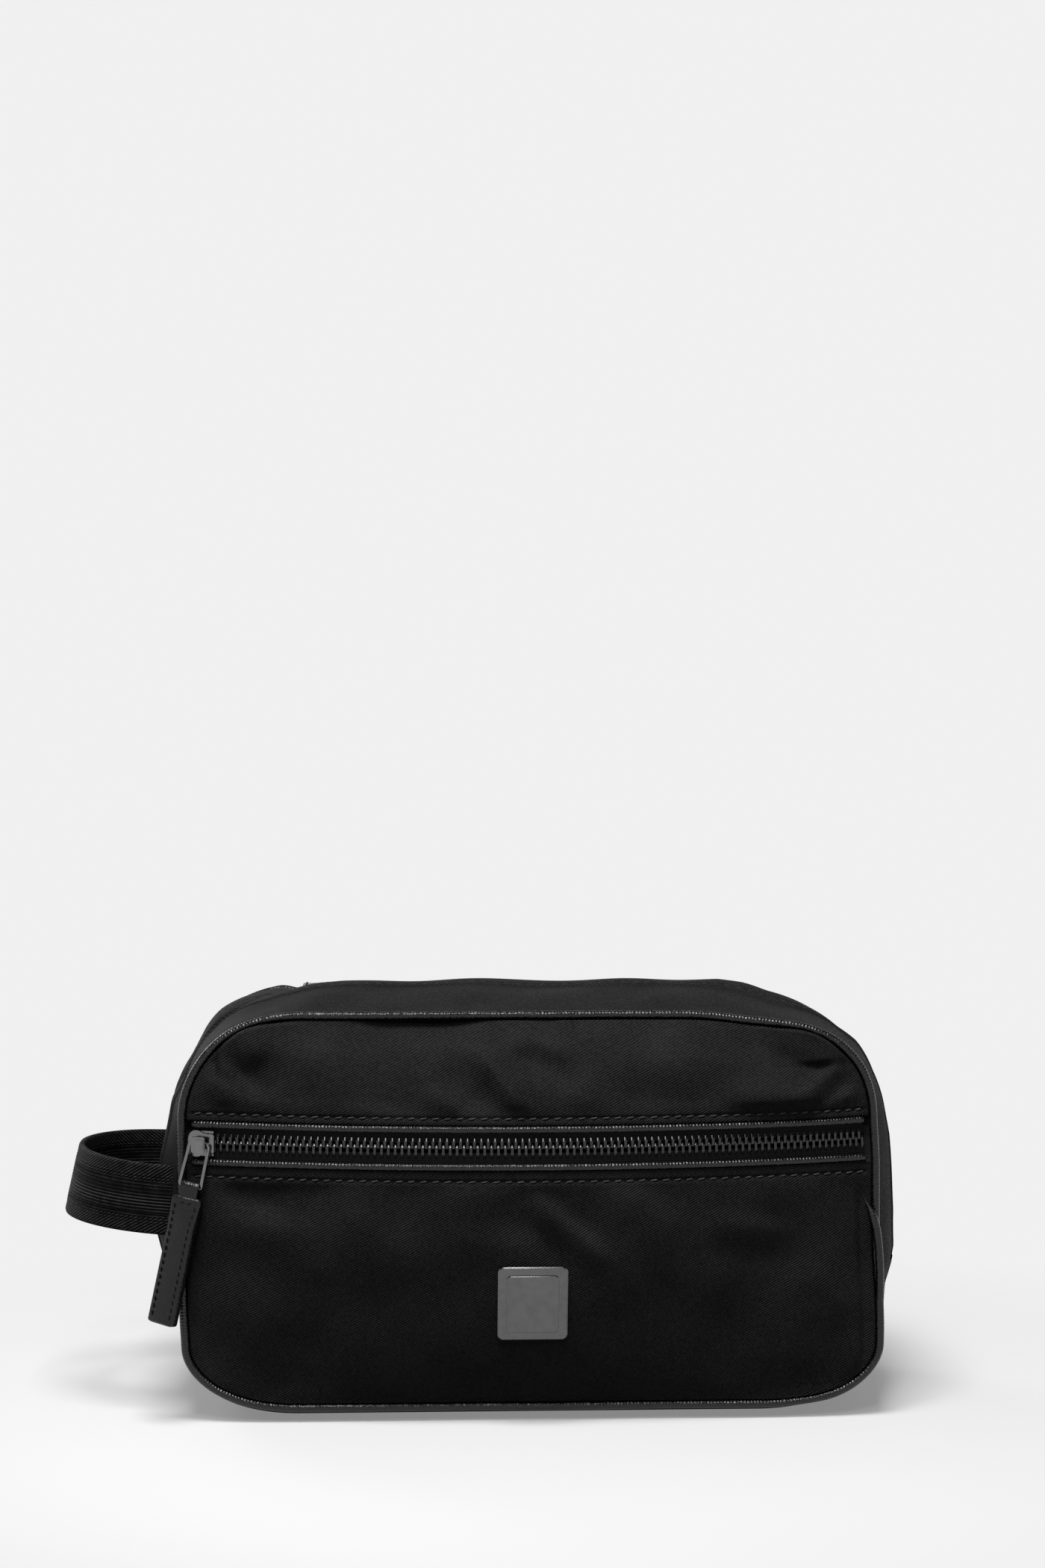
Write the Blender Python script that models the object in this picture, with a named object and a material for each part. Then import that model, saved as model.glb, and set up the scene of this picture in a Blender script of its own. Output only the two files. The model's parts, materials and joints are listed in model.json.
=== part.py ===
"""Soft zipped wash bag: piped shell, front pocket zip, top mouth zip and a side loop.

Metres, +Z up. The bag stands on z = 0, its front faces -Y and the loop is at -X.
"""

import math

import bmesh
import bpy
from mathutils import Matrix, Vector

# Driving dimensions of the shell
HALF_WIDTH = 0.1245         # centre line of the piping, to each side
PIPING_LOW = 0.0050         # height of the piping's lowest centre line
PIPING_HIGH = 0.1460        # height of the piping's highest centre line
DEPTH = 0.100               # between the front and back piping
TOP_CORNER_ACROSS = 0.0450
TOP_CORNER_HIGH = 0.0370
BASE_CORNER_ACROSS = 0.0410
BASE_CORNER_HIGH = 0.0215
CORD_RADIUS = 0.0015        # piping
FABRIC = 0.0016             # padded nylon
LINING = 0.0007             # lining cloth
SIDE_BULGE = 0.0110
FRONT_BULGE = 0.0070        # crown of the front strip, which stands over the zip
TOP_BULGE = 0.0024          # crown of the zip and the back strip
BACK_BULGE = 0.008
BASE_FLAT = 0.70            # share of the depth that lies flat on the floor
FRONT_RADIUS = 0.400        # plan curve of the front pocket
SIDE_SEAM = 0.052           # height where the zip gusset meets the base gusset
HEM_WIDTH = 0.006           # folded edge beside the top zip
HEM_RISE = 0.0008
POCKET_DEPTH = 0.0040       # from the front piping back to the pocket's inner wall

# Zips
ZIP_HEIGHT = 0.1010         # centre of the pocket zip
PITCH = 0.00243             # one tooth to the next
CHAIN_HALF = 0.0030         # half the width of both rows together
CHAIN_THICK = 0.0024
TAPE = 0.0006
TAPE_REACH = 0.0120         # top zip: from its centre line to the tape's outer edge
TAPE_SEWN = 0.0030          # width of tape that is sewn to a strip
TOOTH_TIP = 0.00055         # from the centre line, clear of the slider's core
TOOTH_ROOT = 0.0018
WELT_RADIUS = 0.0013        # piped edge beside the pocket zip
SLIDER_LENGTH = 0.0098
SLIDER_HALF = 0.0048        # half the slider's width
SLIDER_PLATE = 0.0011
CORE_HALF = 0.00025
CORE_LENGTH = 0.0030
FLANGE = 0.0011
LUG_HALF_LENGTH = 0.0012
LUG_BAR = 0.0010
LUG_CLEAR = 0.0025          # height of the tunnel that the yoke's bar runs in
LUG_TUNNEL_HALF = 0.0019

# Pulls
YOKE_HALF = 0.0047
YOKE_DROP = 0.0154          # from the bar in the lug to the bar at the foot
YOKE_WIRE = 0.0012
TAB_LENGTH = 0.0437
TAB_HALF = 0.0055
TAB_THICK = 0.0030
TAB_NECK = 0.0060
TAB_CORNER = 0.0012
TAB_EYE_HOLE = 0.00110
TAB_EYE_OUTER = 0.0021
PULL_LEAN = 10.5            # degrees, pocket pull leaning towards the loop
PULL_STANDOFF = 6.5         # degrees, pocket pull resting off the panel

# Side loop and plate
WEBBING_WIDTH = 0.025
WEBBING = 0.0020
LOOP_HEIGHT = 0.079         # centre of the webbing
LOOP_REACH = 0.0424
LOOP_INSET = 0.0040         # from the piping to where the loop is sewn in
PLATE_WIDTH = 0.025
PLATE_HIGH = 0.028
PLATE_THICK = 0.0022
PLATE_BEVEL = 0.0012
PLATE_HEIGHT = 0.0460

# Clearances
GAP = 0.0003                # between touching pieces
RUN = 0.0004                # between the slider and the chain
SIDE_RUN = 0.0006           # between the slider and the edges it passes
LINING_EASE = 0.0007        # between the lining and the gusset
LIP_LEAD = 0.0172           # run of the top slider in which the lip lifts clear of it

# Derived places
EDGE_Y = DEPTH / 2 - CORD_RADIUS - GAP
PANEL_HALF = HALF_WIDTH - CORD_RADIUS - GAP
PANEL_LOW = PIPING_LOW + CORD_RADIUS + GAP
PANEL_HIGH = PIPING_HIGH - CORD_RADIUS - GAP
BASE_DROP = PIPING_LOW - FABRIC / 2
TOP_STRAIGHT = HALF_WIDTH - TOP_CORNER_ACROSS
PARK = TOP_STRAIGHT - SLIDER_LENGTH / 6
FLAP_HALF = PARK - SLIDER_LENGTH / 2 - LIP_LEAD
TRENCH = SLIDER_HALF + SIDE_RUN
TAPE_DEPTH = FABRIC / 2 + GAP + TAPE / 2
HINGE_Y = -DEPTH / 2 + CORD_RADIUS + GAP + FABRIC / 2
ARC_END = math.sqrt(FRONT_RADIUS ** 2 - PANEL_HALF ** 2)
ARC_Y = -DEPTH / 2 + ARC_END
WELT_HEIGHT = TRENCH + WELT_RADIUS
RIM = TRENCH + 2 * WELT_RADIUS + GAP
WELT_ARC = FRONT_RADIUS + WELT_RADIUS - FABRIC / 2
CHAIN_RADIUS = FRONT_RADIUS - TAPE_DEPTH
PLATE_INNER = CHAIN_THICK / 2 + RUN
PLATE_OUTER = PLATE_INNER + SLIDER_PLATE
BAR_HEIGHT = PLATE_OUTER + LUG_CLEAR / 2


def half_width(height):
    """Half the panel's width at a height."""
    inset = CORD_RADIUS + GAP
    high, across = TOP_CORNER_HIGH - inset, TOP_CORNER_ACROSS - inset
    low, base = BASE_CORNER_HIGH - inset, BASE_CORNER_ACROSS - inset
    above = max(0.0, height - (PANEL_HIGH - high)) / high
    below = max(0.0, (PANEL_LOW + low) - height) / low
    trim = across * (1 - math.sqrt(max(0.0, 1 - above ** 2)))
    trim += base * (1 - math.sqrt(max(0.0, 1 - below ** 2)))
    return PANEL_HALF - trim


def clear_lift():
    """Degrees by which the top stirrup stands up, so that the tab's eye clears the strip under it."""
    strip = TAPE_DEPTH + FABRIC / 2 - TOP_BULGE * (YOKE_DROP / EDGE_Y) ** 2
    needed = strip + TAB_EYE_OUTER + 2 * GAP - BAR_HEIGHT
    return math.degrees(math.asin(max(0.0, needed) / YOKE_DROP))


def clear_droop():
    """Degrees by which the top tab droops from its stirrup and still clears the strip and the piping."""
    lift = math.radians(clear_lift())
    foot = BAR_HEIGHT + YOKE_DROP * math.sin(lift) - TAPE_DEPTH - TAB_THICK / 2 - 2 * GAP
    span = EDGE_Y ** 2 / TOP_BULGE
    room = YOKE_DROP ** 2 + (foot - FABRIC / 2) * span
    over_strip = 2 * (YOKE_DROP + math.sqrt(max(0.0, room))) / span
    over_piping = (foot + TOP_BULGE - CORD_RADIUS) / (DEPTH / 2 - YOKE_DROP)
    return math.degrees(math.atan(min(over_strip, over_piping)) + lift)


POCKET_PARK = half_width(ZIP_HEIGHT + SLIDER_HALF) - SLIDER_LENGTH / 2 - 2 * GAP
POCKET_ANGLE = math.asin(POCKET_PARK / FRONT_RADIUS)
CHAIN_END = math.asin((half_width(ZIP_HEIGHT + RIM) - 6 * GAP) / FRONT_RADIUS)

# Mesh steps
CORNER_STEPS = 7
SIDE_STEPS = 2
PANEL_COLUMNS = 14
CORD_SIDES = 6


for old in list(bpy.data.objects):
    bpy.data.objects.remove(old, do_unlink=True)


# Materials
def material(name, colour, roughness, metallic):
    made = bpy.data.materials.new(name)
    made.use_nodes = True
    shader = made.node_tree.nodes["Principled BSDF"]
    shader.inputs["Base Color"].default_value = (*colour, 1.0)
    shader.inputs["Roughness"].default_value = roughness
    shader.inputs["Metallic"].default_value = metallic
    return made


NYLON = material("black_nylon", (0.016, 0.016, 0.017), 0.55, 0.0)
LEATHER = material("black_leather", (0.012, 0.012, 0.012), 0.45, 0.0)
WEB = material("black_webbing", (0.010, 0.010, 0.011), 0.75, 0.0)
TAPE_CLOTH = material("zip_tape", (0.008, 0.008, 0.009), 0.85, 0.0)
LINING_CLOTH = material("lining_cloth", (0.030, 0.030, 0.033), 0.80, 0.0)
GUNMETAL = material("gunmetal", (0.16, 0.16, 0.165), 0.30, 1.0)


# Mesh helpers
def add_object(name, points, faces, stuff, pivot=(0, 0, 0), smooth=False):
    """A closed body from world points, with its origin at the pivot."""
    origin = Vector(pivot)
    mesh = bpy.data.meshes.new(name)
    mesh.from_pydata([Vector(p) - origin for p in points], [], faces)
    shaped = bmesh.new()
    shaped.from_mesh(mesh)
    bmesh.ops.recalc_face_normals(shaped, faces=shaped.faces)
    shaped.to_mesh(mesh)
    shaped.free()
    mesh.materials.append(stuff)
    if smooth:
        mesh.shade_smooth()
        mesh.set_sharp_from_angle(angle=math.radians(40))
    made = bpy.data.objects.new(name, mesh)
    made.location = origin
    bpy.context.collection.objects.link(made)
    return made


def shell(name, outer, inner, stuff, pivot=(0, 0, 0)):
    """A sheet with thickness, from two matching grids of points."""
    rows, columns = len(outer), len(outer[0])
    points = [p for row in outer for p in row] + [p for row in inner for p in row]
    half = rows * columns

    def at(side, i, j):
        return side * half + i * columns + j

    faces = []
    for i in range(rows - 1):
        for j in range(columns - 1):
            for side in (0, 1):
                ring = [at(side, i, j), at(side, i + 1, j), at(side, i + 1, j + 1), at(side, i, j + 1)]
                faces.append(ring if side == 0 else ring[::-1])
    for i in range(rows - 1):
        for j in (0, columns - 1):
            faces.append([at(0, i, j), at(0, i + 1, j), at(1, i + 1, j), at(1, i, j)])
    for j in range(columns - 1):
        for i in (0, rows - 1):
            faces.append([at(0, i, j), at(0, i, j + 1), at(1, i, j + 1), at(1, i, j)])
    return add_object(name, points, faces, stuff, pivot, smooth=True)


def sweep_data(rings, closed=False):
    """Points and faces of a body lofted through rings of equal length."""
    sides = len(rings[0])
    points = [p for ring in rings for p in ring]
    faces = []
    spans = len(rings) if closed else len(rings) - 1
    for i in range(spans):
        a, b = i * sides, ((i + 1) % len(rings)) * sides
        for j in range(sides):
            k = (j + 1) % sides
            faces.append([a + j, a + k, b + k, b + j])
    if not closed:
        faces.append(list(range(sides)))
        faces.append(list(range(len(points) - sides, len(points))))
    return points, faces


def sweep(name, rings, stuff, closed=False, pivot=(0, 0, 0), smooth=True):
    points, faces = sweep_data(rings, closed)
    return add_object(name, points, faces, stuff, pivot, smooth)


def frame_block(low, high, frame):
    """Two rings of a box given in a frame's own axes."""
    rings = []
    for x in (low[0], high[0]):
        corners = [(low[1], low[2]), (high[1], low[2]), (high[1], high[2]), (low[1], high[2])]
        rings.append([frame @ Vector((x, y, z)) for y, z in corners])
    return rings


def joined(name, bodies, stuff, pivot):
    """One body: the first of a list of closed shapes with the rest united to it."""
    made = None
    for index, (points, faces) in enumerate(bodies):
        label = name if index == 0 else f"{name}_add_{index}"
        piece = add_object(label, points, faces, stuff, pivot)
        if index == 0:
            made = piece
            continue
        piece.hide_render = True
        piece.display_type = "WIRE"
        unite = made.modifiers.new(f"unite_{index}", "BOOLEAN")
        unite.operation = "UNION"
        unite.object = piece
    return made


# Outline of the piping, as places with outward normals
def arc_run(centre, radii, start, end, steps):
    run = []
    for k in range(steps + 1):
        turn = math.radians(start + (end - start) * k / steps)
        place = (centre[0] + radii[0] * math.cos(turn), centre[1] + radii[1] * math.sin(turn))
        across, up = math.cos(turn) / radii[0], math.sin(turn) / radii[1]
        size = math.hypot(across, up)
        run.append((place, (across / size, up / size)))
    return run


def mirrored(run):
    return [((-p[0], p[1]), (-n[0], n[1])) for p, n in reversed(run)]


def side_run():
    """Right side seam, up the side and over the shoulder to the flap's end."""
    straight_top = PIPING_HIGH - TOP_CORNER_HIGH
    run = []
    for k in range(SIDE_STEPS):
        height = SIDE_SEAM + (straight_top - SIDE_SEAM) * k / SIDE_STEPS
        run.append(((HALF_WIDTH, height), (1.0, 0.0)))
    corner = (TOP_STRAIGHT, straight_top)
    run += arc_run(corner, (TOP_CORNER_ACROSS, TOP_CORNER_HIGH), 0, 90, CORNER_STEPS)
    run.append(((FLAP_HALF, PIPING_HIGH), (0.0, 1.0)))
    return run


def base_run():
    """Left side seam, down round the base and up to the right side seam."""
    corner = (HALF_WIDTH - BASE_CORNER_ACROSS, PIPING_LOW + BASE_CORNER_HIGH)
    right = arc_run(corner, (BASE_CORNER_ACROSS, BASE_CORNER_HIGH), -90, 0, CORNER_STEPS)
    right.append(((HALF_WIDTH, SIDE_SEAM), (1.0, 0.0)))
    return mirrored(right) + [((0.0, PIPING_LOW), (0.0, -1.0))] + right


def trimmed(run, start=0.0, end=0.0):
    """The run with its first and last places moved inwards along it."""
    first, last = list(run[0]), list(run[-1])
    for item, other, cut in ((first, run[1], start), (last, run[-2], end)):
        away = Vector(other[0]) - Vector(item[0])
        item[0] = tuple(Vector(item[0]) + away.normalized() * cut)
    return [tuple(first)] + list(run[1:-1]) + [tuple(last)]


BASE = base_run()
RIGHT = side_run()
LEFT = mirrored(RIGHT)
RING = BASE + RIGHT[1:] + LEFT[:-1]


# Gusset surface between the front and back piping
def swell(normal, y, crown=TOP_BULGE):
    share = abs(y) / EDGE_Y
    dome = 1 - share ** 2
    past_flat = max(0.0, share - BASE_FLAT) / (1 - BASE_FLAT)
    across, up = normal
    bulge = SIDE_BULGE * across ** 2 * dome
    bulge += crown * max(up, 0.0) ** 2 * dome
    bulge += BASE_DROP * max(-up, 0.0) ** 2 * (1 - past_flat ** 2)
    return bulge


def on_gusset(station, y, rise, crown=TOP_BULGE):
    place, normal = station
    out = swell(normal, y, crown) + rise
    return Vector((place[0] + normal[0] * out, y, place[1] + normal[1] * out))


def gusset_piece(name, run, lanes, stuff, pivot=(0, 0, 0)):
    """A strip of the gusset; each lane is a depth with its top and bottom rise and its crown."""
    outer = [[on_gusset(s, y, top, crown) for y, top, _, crown in lanes] for s in run]
    inner = [[on_gusset(s, y, low, crown) for y, _, low, crown in lanes] for s in run]
    return shell(name, outer, inner, stuff, pivot)


def hemmed_lanes(start, sign, crown):
    """Lanes of a zip strip, from the piping to its folded edge."""
    fold = TRENCH + HEM_WIDTH
    depths = [start, start - (start - fold) * 0.33, start - (start - fold) * 0.66, fold]
    lanes = [(sign * d, FABRIC / 2, -FABRIC / 2, crown) for d in depths]
    lanes.append((sign * (fold - HEM_RISE), FABRIC / 2 + HEM_RISE, -FABRIC / 2, crown))
    lanes.append((sign * TRENCH, FABRIC / 2 + HEM_RISE, -FABRIC / 2, crown))
    return lanes


def tape_lanes(sign, crown):
    """Lanes of a tape, from where it is sewn under its strip down to the chain."""
    top, low = TAPE / 2 - TAPE_DEPTH, -TAPE / 2 - TAPE_DEPTH
    lanes = [(sign * d, top, low, crown) for d in (TAPE_REACH, TAPE_REACH - TAPE_SEWN)]
    return lanes + [(sign * d, top, low, TOP_BULGE) for d in (TRENCH, CHAIN_HALF + GAP)]


def row_lanes(sign):
    top, low = CHAIN_THICK / 2 - TAPE_DEPTH, -CHAIN_THICK / 2 - TAPE_DEPTH
    return [(sign * d, top, low, TOP_BULGE) for d in (CHAIN_HALF, TOOTH_TIP)]


SHARES = (-1, -0.9, -0.7, -0.35, 0, 0.35, 0.7, 0.9, 1)
base_lanes = [(s * EDGE_Y, FABRIC / 2, -FABRIC / 2, TOP_BULGE) for s in SHARES]
gusset_piece("base_gusset", trimmed(BASE, GAP / 2, GAP / 2), base_lanes, NYLON)

FRONT_LANES = hemmed_lanes(EDGE_Y, -1, FRONT_BULGE)
SHOULDERS = {"left": trimmed(LEFT, GAP / 2, GAP / 2), "right": trimmed(RIGHT, GAP / 2, GAP / 2)}
for side, run in SHOULDERS.items():
    gusset_piece(f"front_strip_{side}", run, FRONT_LANES, NYLON)
    gusset_piece(f"front_zip_tape_{side}", run, tape_lanes(-1, FRONT_BULGE), TAPE_CLOTH)
    gusset_piece(f"front_zip_row_{side}", run, row_lanes(-1), GUNMETAL)

BACK_RUN = trimmed(RIGHT + LEFT, GAP / 2, GAP / 2)
gusset_piece("back_strip", BACK_RUN, hemmed_lanes(EDGE_Y, 1, TOP_BULGE), NYLON)
gusset_piece("back_zip_tape", BACK_RUN, tape_lanes(1, TOP_BULGE), TAPE_CLOTH)
gusset_piece("back_zip_row", BACK_RUN, row_lanes(1), GUNMETAL)


# Mouth flap: the middle of the front zip strip, turning at the front top seam
HINGE = (0.0, HINGE_Y, PIPING_HIGH)
FLAP_END = FLAP_HALF - GAP / 2
TOP = [((x, PIPING_HIGH), (0.0, 1.0)) for x in (FLAP_END, -FLAP_END)]


def flap_strip():
    """The strip's section, with a rounded nose on the hinge line, run along X."""
    lanes = hemmed_lanes(-HINGE_Y, -1, FRONT_BULGE)
    rings = []
    for station in TOP:
        section = [on_gusset(station, y, top, crown) for y, top, _, crown in lanes]
        section += [on_gusset(station, y, low, crown) for y, _, low, crown in reversed(lanes)]
        nose = Vector((station[0][0], HINGE_Y - FABRIC / 2, PIPING_HIGH))
        lift = swell(station[1], HINGE_Y, FRONT_BULGE)
        section[0].z -= lift
        section[-1].z -= lift
        rings.append(section + [nose])
    sweep("mouth_flap", rings, NYLON, pivot=HINGE, smooth=False)


def toothed_row(name, stations, pivot=(0, 0, 0)):
    """A row of teeth on its spine; stations give tip, heel and thickness directions."""
    rings = []
    for tip, heel, up in stations:
        half = up * (CHAIN_THICK / 2)
        rings.append([tip + half, heel + half, heel - half, tip - half])
    sweep(name, rings, GUNMETAL, pivot=pivot, smooth=False)


def flap_row():
    """The flap's own teeth, straight along the top."""
    count = int(2 * FLAP_END / PITCH)
    stations = []
    for k in range(2 * count + 1):
        x = (k - count) * PITCH / 2
        reach = TOOTH_TIP if k % 2 else TOOTH_ROOT
        station = ((x, PIPING_HIGH), (0.0, 1.0))
        tip = on_gusset(station, -reach, -TAPE_DEPTH)
        heel = on_gusset(station, -CHAIN_HALF, -TAPE_DEPTH)
        stations.append((tip, heel, Vector((0, 0, 1))))
    toothed_row("mouth_flap_row", stations, HINGE)


flap_strip()
flap_row()
gusset_piece("mouth_flap_tape", TOP, tape_lanes(-1, FRONT_BULGE), TAPE_CLOTH, HINGE)


# Piping cords round the front and back panels
def piping(name, y):
    rings = []
    for place, normal in RING:
        ring = []
        for k in range(CORD_SIDES):
            turn = 2 * math.pi * k / CORD_SIDES
            out, along = CORD_RADIUS * math.cos(turn), CORD_RADIUS * math.sin(turn)
            ring.append(Vector((place[0] + normal[0] * out, y + along, place[1] + normal[1] * out)))
        rings.append(ring)
    sweep(name, rings, LEATHER, closed=True)


piping("front_piping", -DEPTH / 2)
piping("back_piping", DEPTH / 2)


# Front and back panels, in rows of height across the outline
def front_share(height):
    """How full the front is at a height: 1 at the zip, 0 at the piping."""
    if height > ZIP_HEIGHT:
        past = max(0.0, height - ZIP_HEIGHT - RIM) / (PANEL_HIGH - ZIP_HEIGHT - RIM)
        return 1 - past ** 2
    past = max(0.0, ZIP_HEIGHT - RIM - height) / (ZIP_HEIGHT - RIM - PANEL_LOW)
    return 1 - past ** 2.6


def front_mid(x, height):
    stretch = x * PANEL_HALF / half_width(height)
    arc = math.sqrt(max(0.0, FRONT_RADIUS ** 2 - stretch ** 2)) - ARC_END
    return -DEPTH / 2 - front_share(height) * arc


def back_mid(x, height):
    middle, half = (PANEL_HIGH + PANEL_LOW) / 2, (PANEL_HIGH - PANEL_LOW) / 2
    upright = 1 - abs((height - middle) / half) ** 2.4
    return DEPTH / 2 + BACK_BULGE * upright * (1 - (x / half_width(height)) ** 2)


def corner_rows(low, high, steps, at_top):
    """Heights bunched towards the end where a corner turns in."""
    rows = []
    for k in range(steps + 1):
        turn = math.pi / 2 * k / steps
        share = math.sin(turn) if at_top else 1 - math.cos(turn)
        rows.append(low + (high - low) * share)
    return rows


def panel(name, heights, middle):
    outer, inner = [], []
    for height in heights:
        wide = half_width(height)
        places = [wide * (2 * j / PANEL_COLUMNS - 1) for j in range(PANEL_COLUMNS + 1)]
        outer.append([Vector((x, middle(x, height) - FABRIC / 2, height)) for x in places])
        inner.append([Vector((x, middle(x, height) + FABRIC / 2, height)) for x in places])
    return shell(name, outer, inner, NYLON)


LOWER_TOP = ZIP_HEIGHT - RIM
UPPER_BASE = ZIP_HEIGHT + RIM
LOW_TURN = PIPING_LOW + BASE_CORNER_HIGH
HIGH_TURN = PIPING_HIGH - TOP_CORNER_HIGH
low_rows = corner_rows(PANEL_LOW, LOW_TURN, 5, False)
lower_rows = low_rows + [LOW_TURN + (LOWER_TOP - LOW_TURN) * k / 4 for k in range(1, 5)]
panel("front_panel_lower", lower_rows, front_mid)
panel("front_panel_upper", corner_rows(UPPER_BASE, PANEL_HIGH, 7, True), front_mid)
back_rows = low_rows + [LOW_TURN + (HIGH_TURN - LOW_TURN) * k / 4 for k in range(1, 4)]
panel("back_panel", back_rows + corner_rows(HIGH_TURN, PANEL_HIGH, 5, True), back_mid)


# Lining: the pocket's inner wall, the back wall and the band round the base
def wall(name, y_front, crown, stuff):
    """A flat sheet that fills the gusset at one depth."""
    deep = max(abs(y_front), abs(y_front + LINING))
    ring = [on_gusset(s, deep, -FABRIC / 2 - GAP, crown) for s in RING]
    rings = [[Vector((p.x, y, p.z)) for p in ring] for y in (y_front, y_front + LINING)]
    sweep(name, rings, stuff, smooth=False)


WALL_Y = -DEPTH / 2 + POCKET_DEPTH
BACK_WALL_Y = DEPTH / 2 - POCKET_DEPTH - LINING
wall("pocket_wall", WALL_Y, FRONT_BULGE, LINING_CLOTH)
wall("lining_back", BACK_WALL_Y, TOP_BULGE, LINING_CLOTH)
band_low, band_high = WALL_Y + LINING + GAP, BACK_WALL_Y - GAP
band_rise = -FABRIC / 2 - LINING_EASE
band_inner = [s * EDGE_Y for s in SHARES if band_low < s * EDGE_Y < band_high]
band_ys = [band_low] + band_inner + [band_high]
band_lanes = [(y, band_rise, band_rise - LINING, TOP_BULGE) for y in band_ys]
gusset_piece("lining_band", trimmed(BASE, GAP / 2, GAP / 2), band_lanes, LINING_CLOTH)


# Pocket zip: welts, tapes and rows on an upright cylinder
def on_arc(turn, radius, height):
    return Vector((radius * math.sin(turn), ARC_Y - radius * math.cos(turn), height))


ARC_STEPS = 20
ARC_TURNS = [CHAIN_END * (2 * k / ARC_STEPS - 1) for k in range(ARC_STEPS + 1)]


def pocket_welt(name, sign):
    rings = []
    for turn in ARC_TURNS:
        ring = []
        for k in range(CORD_SIDES):
            around = 2 * math.pi * k / CORD_SIDES
            out, up = WELT_RADIUS * math.cos(around), WELT_RADIUS * math.sin(around)
            ring.append(on_arc(turn, WELT_ARC + out, ZIP_HEIGHT + sign * WELT_HEIGHT + up))
        rings.append(ring)
    sweep(name, rings, LEATHER)


def pocket_tape(name, sign):
    rings = []
    for turn in ARC_TURNS:
        near, far = CHAIN_HALF + GAP, RIM - GAP
        corners = ((TAPE / 2, near), (TAPE / 2, far), (-TAPE / 2, far), (-TAPE / 2, near))
        rings.append([on_arc(turn, CHAIN_RADIUS + o, ZIP_HEIGHT + sign * u) for o, u in corners])
    sweep(name, rings, TAPE_CLOTH)


def pocket_row(name, sign, offset):
    """Teeth along the pocket; the two rows are half a pitch apart."""
    step = PITCH / CHAIN_RADIUS
    count = int(2 * CHAIN_END / step)
    stations = []
    for k in range(2 * count + 1):
        turn = (k - count) * step / 2
        reach = TOOTH_TIP if (k + offset) % 2 else TOOTH_ROOT
        tip = on_arc(turn, CHAIN_RADIUS, ZIP_HEIGHT + sign * reach)
        heel = on_arc(turn, CHAIN_RADIUS, ZIP_HEIGHT + sign * CHAIN_HALF)
        stations.append((tip, heel, on_arc(turn, 1, 0) - on_arc(turn, 0, 0)))
    toothed_row(name, stations)


for label, sign, offset in (("lower", -1, 0), ("upper", 1, 1)):
    pocket_welt(f"pocket_welt_{label}", sign)
    pocket_tape(f"pocket_tape_{label}", sign)
    pocket_row(f"pocket_row_{label}", sign, offset)


# Sliders and pulls, built in a frame: X along the chain, Y across it, Z outwards
def slider(name, frame, core_sign, pivot):
    length = SLIDER_LENGTH / 2
    bodies = []
    for sign in (1, -1):
        inner, outer = PLATE_INNER * sign, PLATE_OUTER * sign
        lip = (PLATE_INNER - FLANGE * 0.8) * sign
        profile = [(-SLIDER_HALF, outer), (SLIDER_HALF, outer), (SLIDER_HALF, lip)]
        profile += [(SLIDER_HALF - FLANGE, lip), (SLIDER_HALF - FLANGE, inner)]
        profile += [(FLANGE - SLIDER_HALF, inner), (FLANGE - SLIDER_HALF, lip), (-SLIDER_HALF, lip)]
        rings = [[frame @ Vector((x, y, z)) for y, z in profile] for x in (-length, length)]
        bodies.append(sweep_data(rings))
    sunk = SLIDER_PLATE / 2
    core_far = core_sign * (length - GAP)
    core_near = core_far - core_sign * CORE_LENGTH
    core_low = (min(core_far, core_near), -CORE_HALF, -PLATE_INNER - sunk)
    core_high = (max(core_far, core_near), CORE_HALF, PLATE_INNER + sunk)
    bodies.insert(1, sweep_data(frame_block(core_low, core_high, frame)))
    lug_top = PLATE_OUTER + LUG_CLEAR
    lug_side = LUG_TUNNEL_HALF + LUG_BAR
    arch = [(-lug_side, PLATE_OUTER - sunk), (-lug_side, lug_top + LUG_BAR)]
    arch += [(lug_side, lug_top + LUG_BAR), (lug_side, PLATE_OUTER - sunk)]
    arch += [(LUG_TUNNEL_HALF, PLATE_OUTER - sunk), (LUG_TUNNEL_HALF, lug_top)]
    arch += [(-LUG_TUNNEL_HALF, lug_top), (-LUG_TUNNEL_HALF, PLATE_OUTER - sunk)]
    ends = (-LUG_HALF_LENGTH, LUG_HALF_LENGTH)
    bodies.append(sweep_data([[frame @ Vector((x, y, z)) for y, z in arch] for x in ends]))
    joined(name, bodies, GUNMETAL, pivot)


def yoke(name, frame, pivot):
    """A wire stirrup: a closed loop through the slider's lug, hanging along -Y."""
    half = YOKE_WIRE / 2
    loops = []
    for grow in (half, -half):
        wide, top, foot = YOKE_HALF - half + grow, grow, -YOKE_DROP - grow
        loops.append([(-wide, foot), (wide, foot), (wide, top), (-wide, top)])
    rings = []
    for outer, inner in zip(*loops):
        ring = [(*outer, -half), (*outer, half), (*inner, half), (*inner, -half)]
        rings.append([frame @ Vector(p) for p in ring])
    sweep(name, rings, GUNMETAL, closed=True, pivot=pivot, smooth=False)


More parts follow.
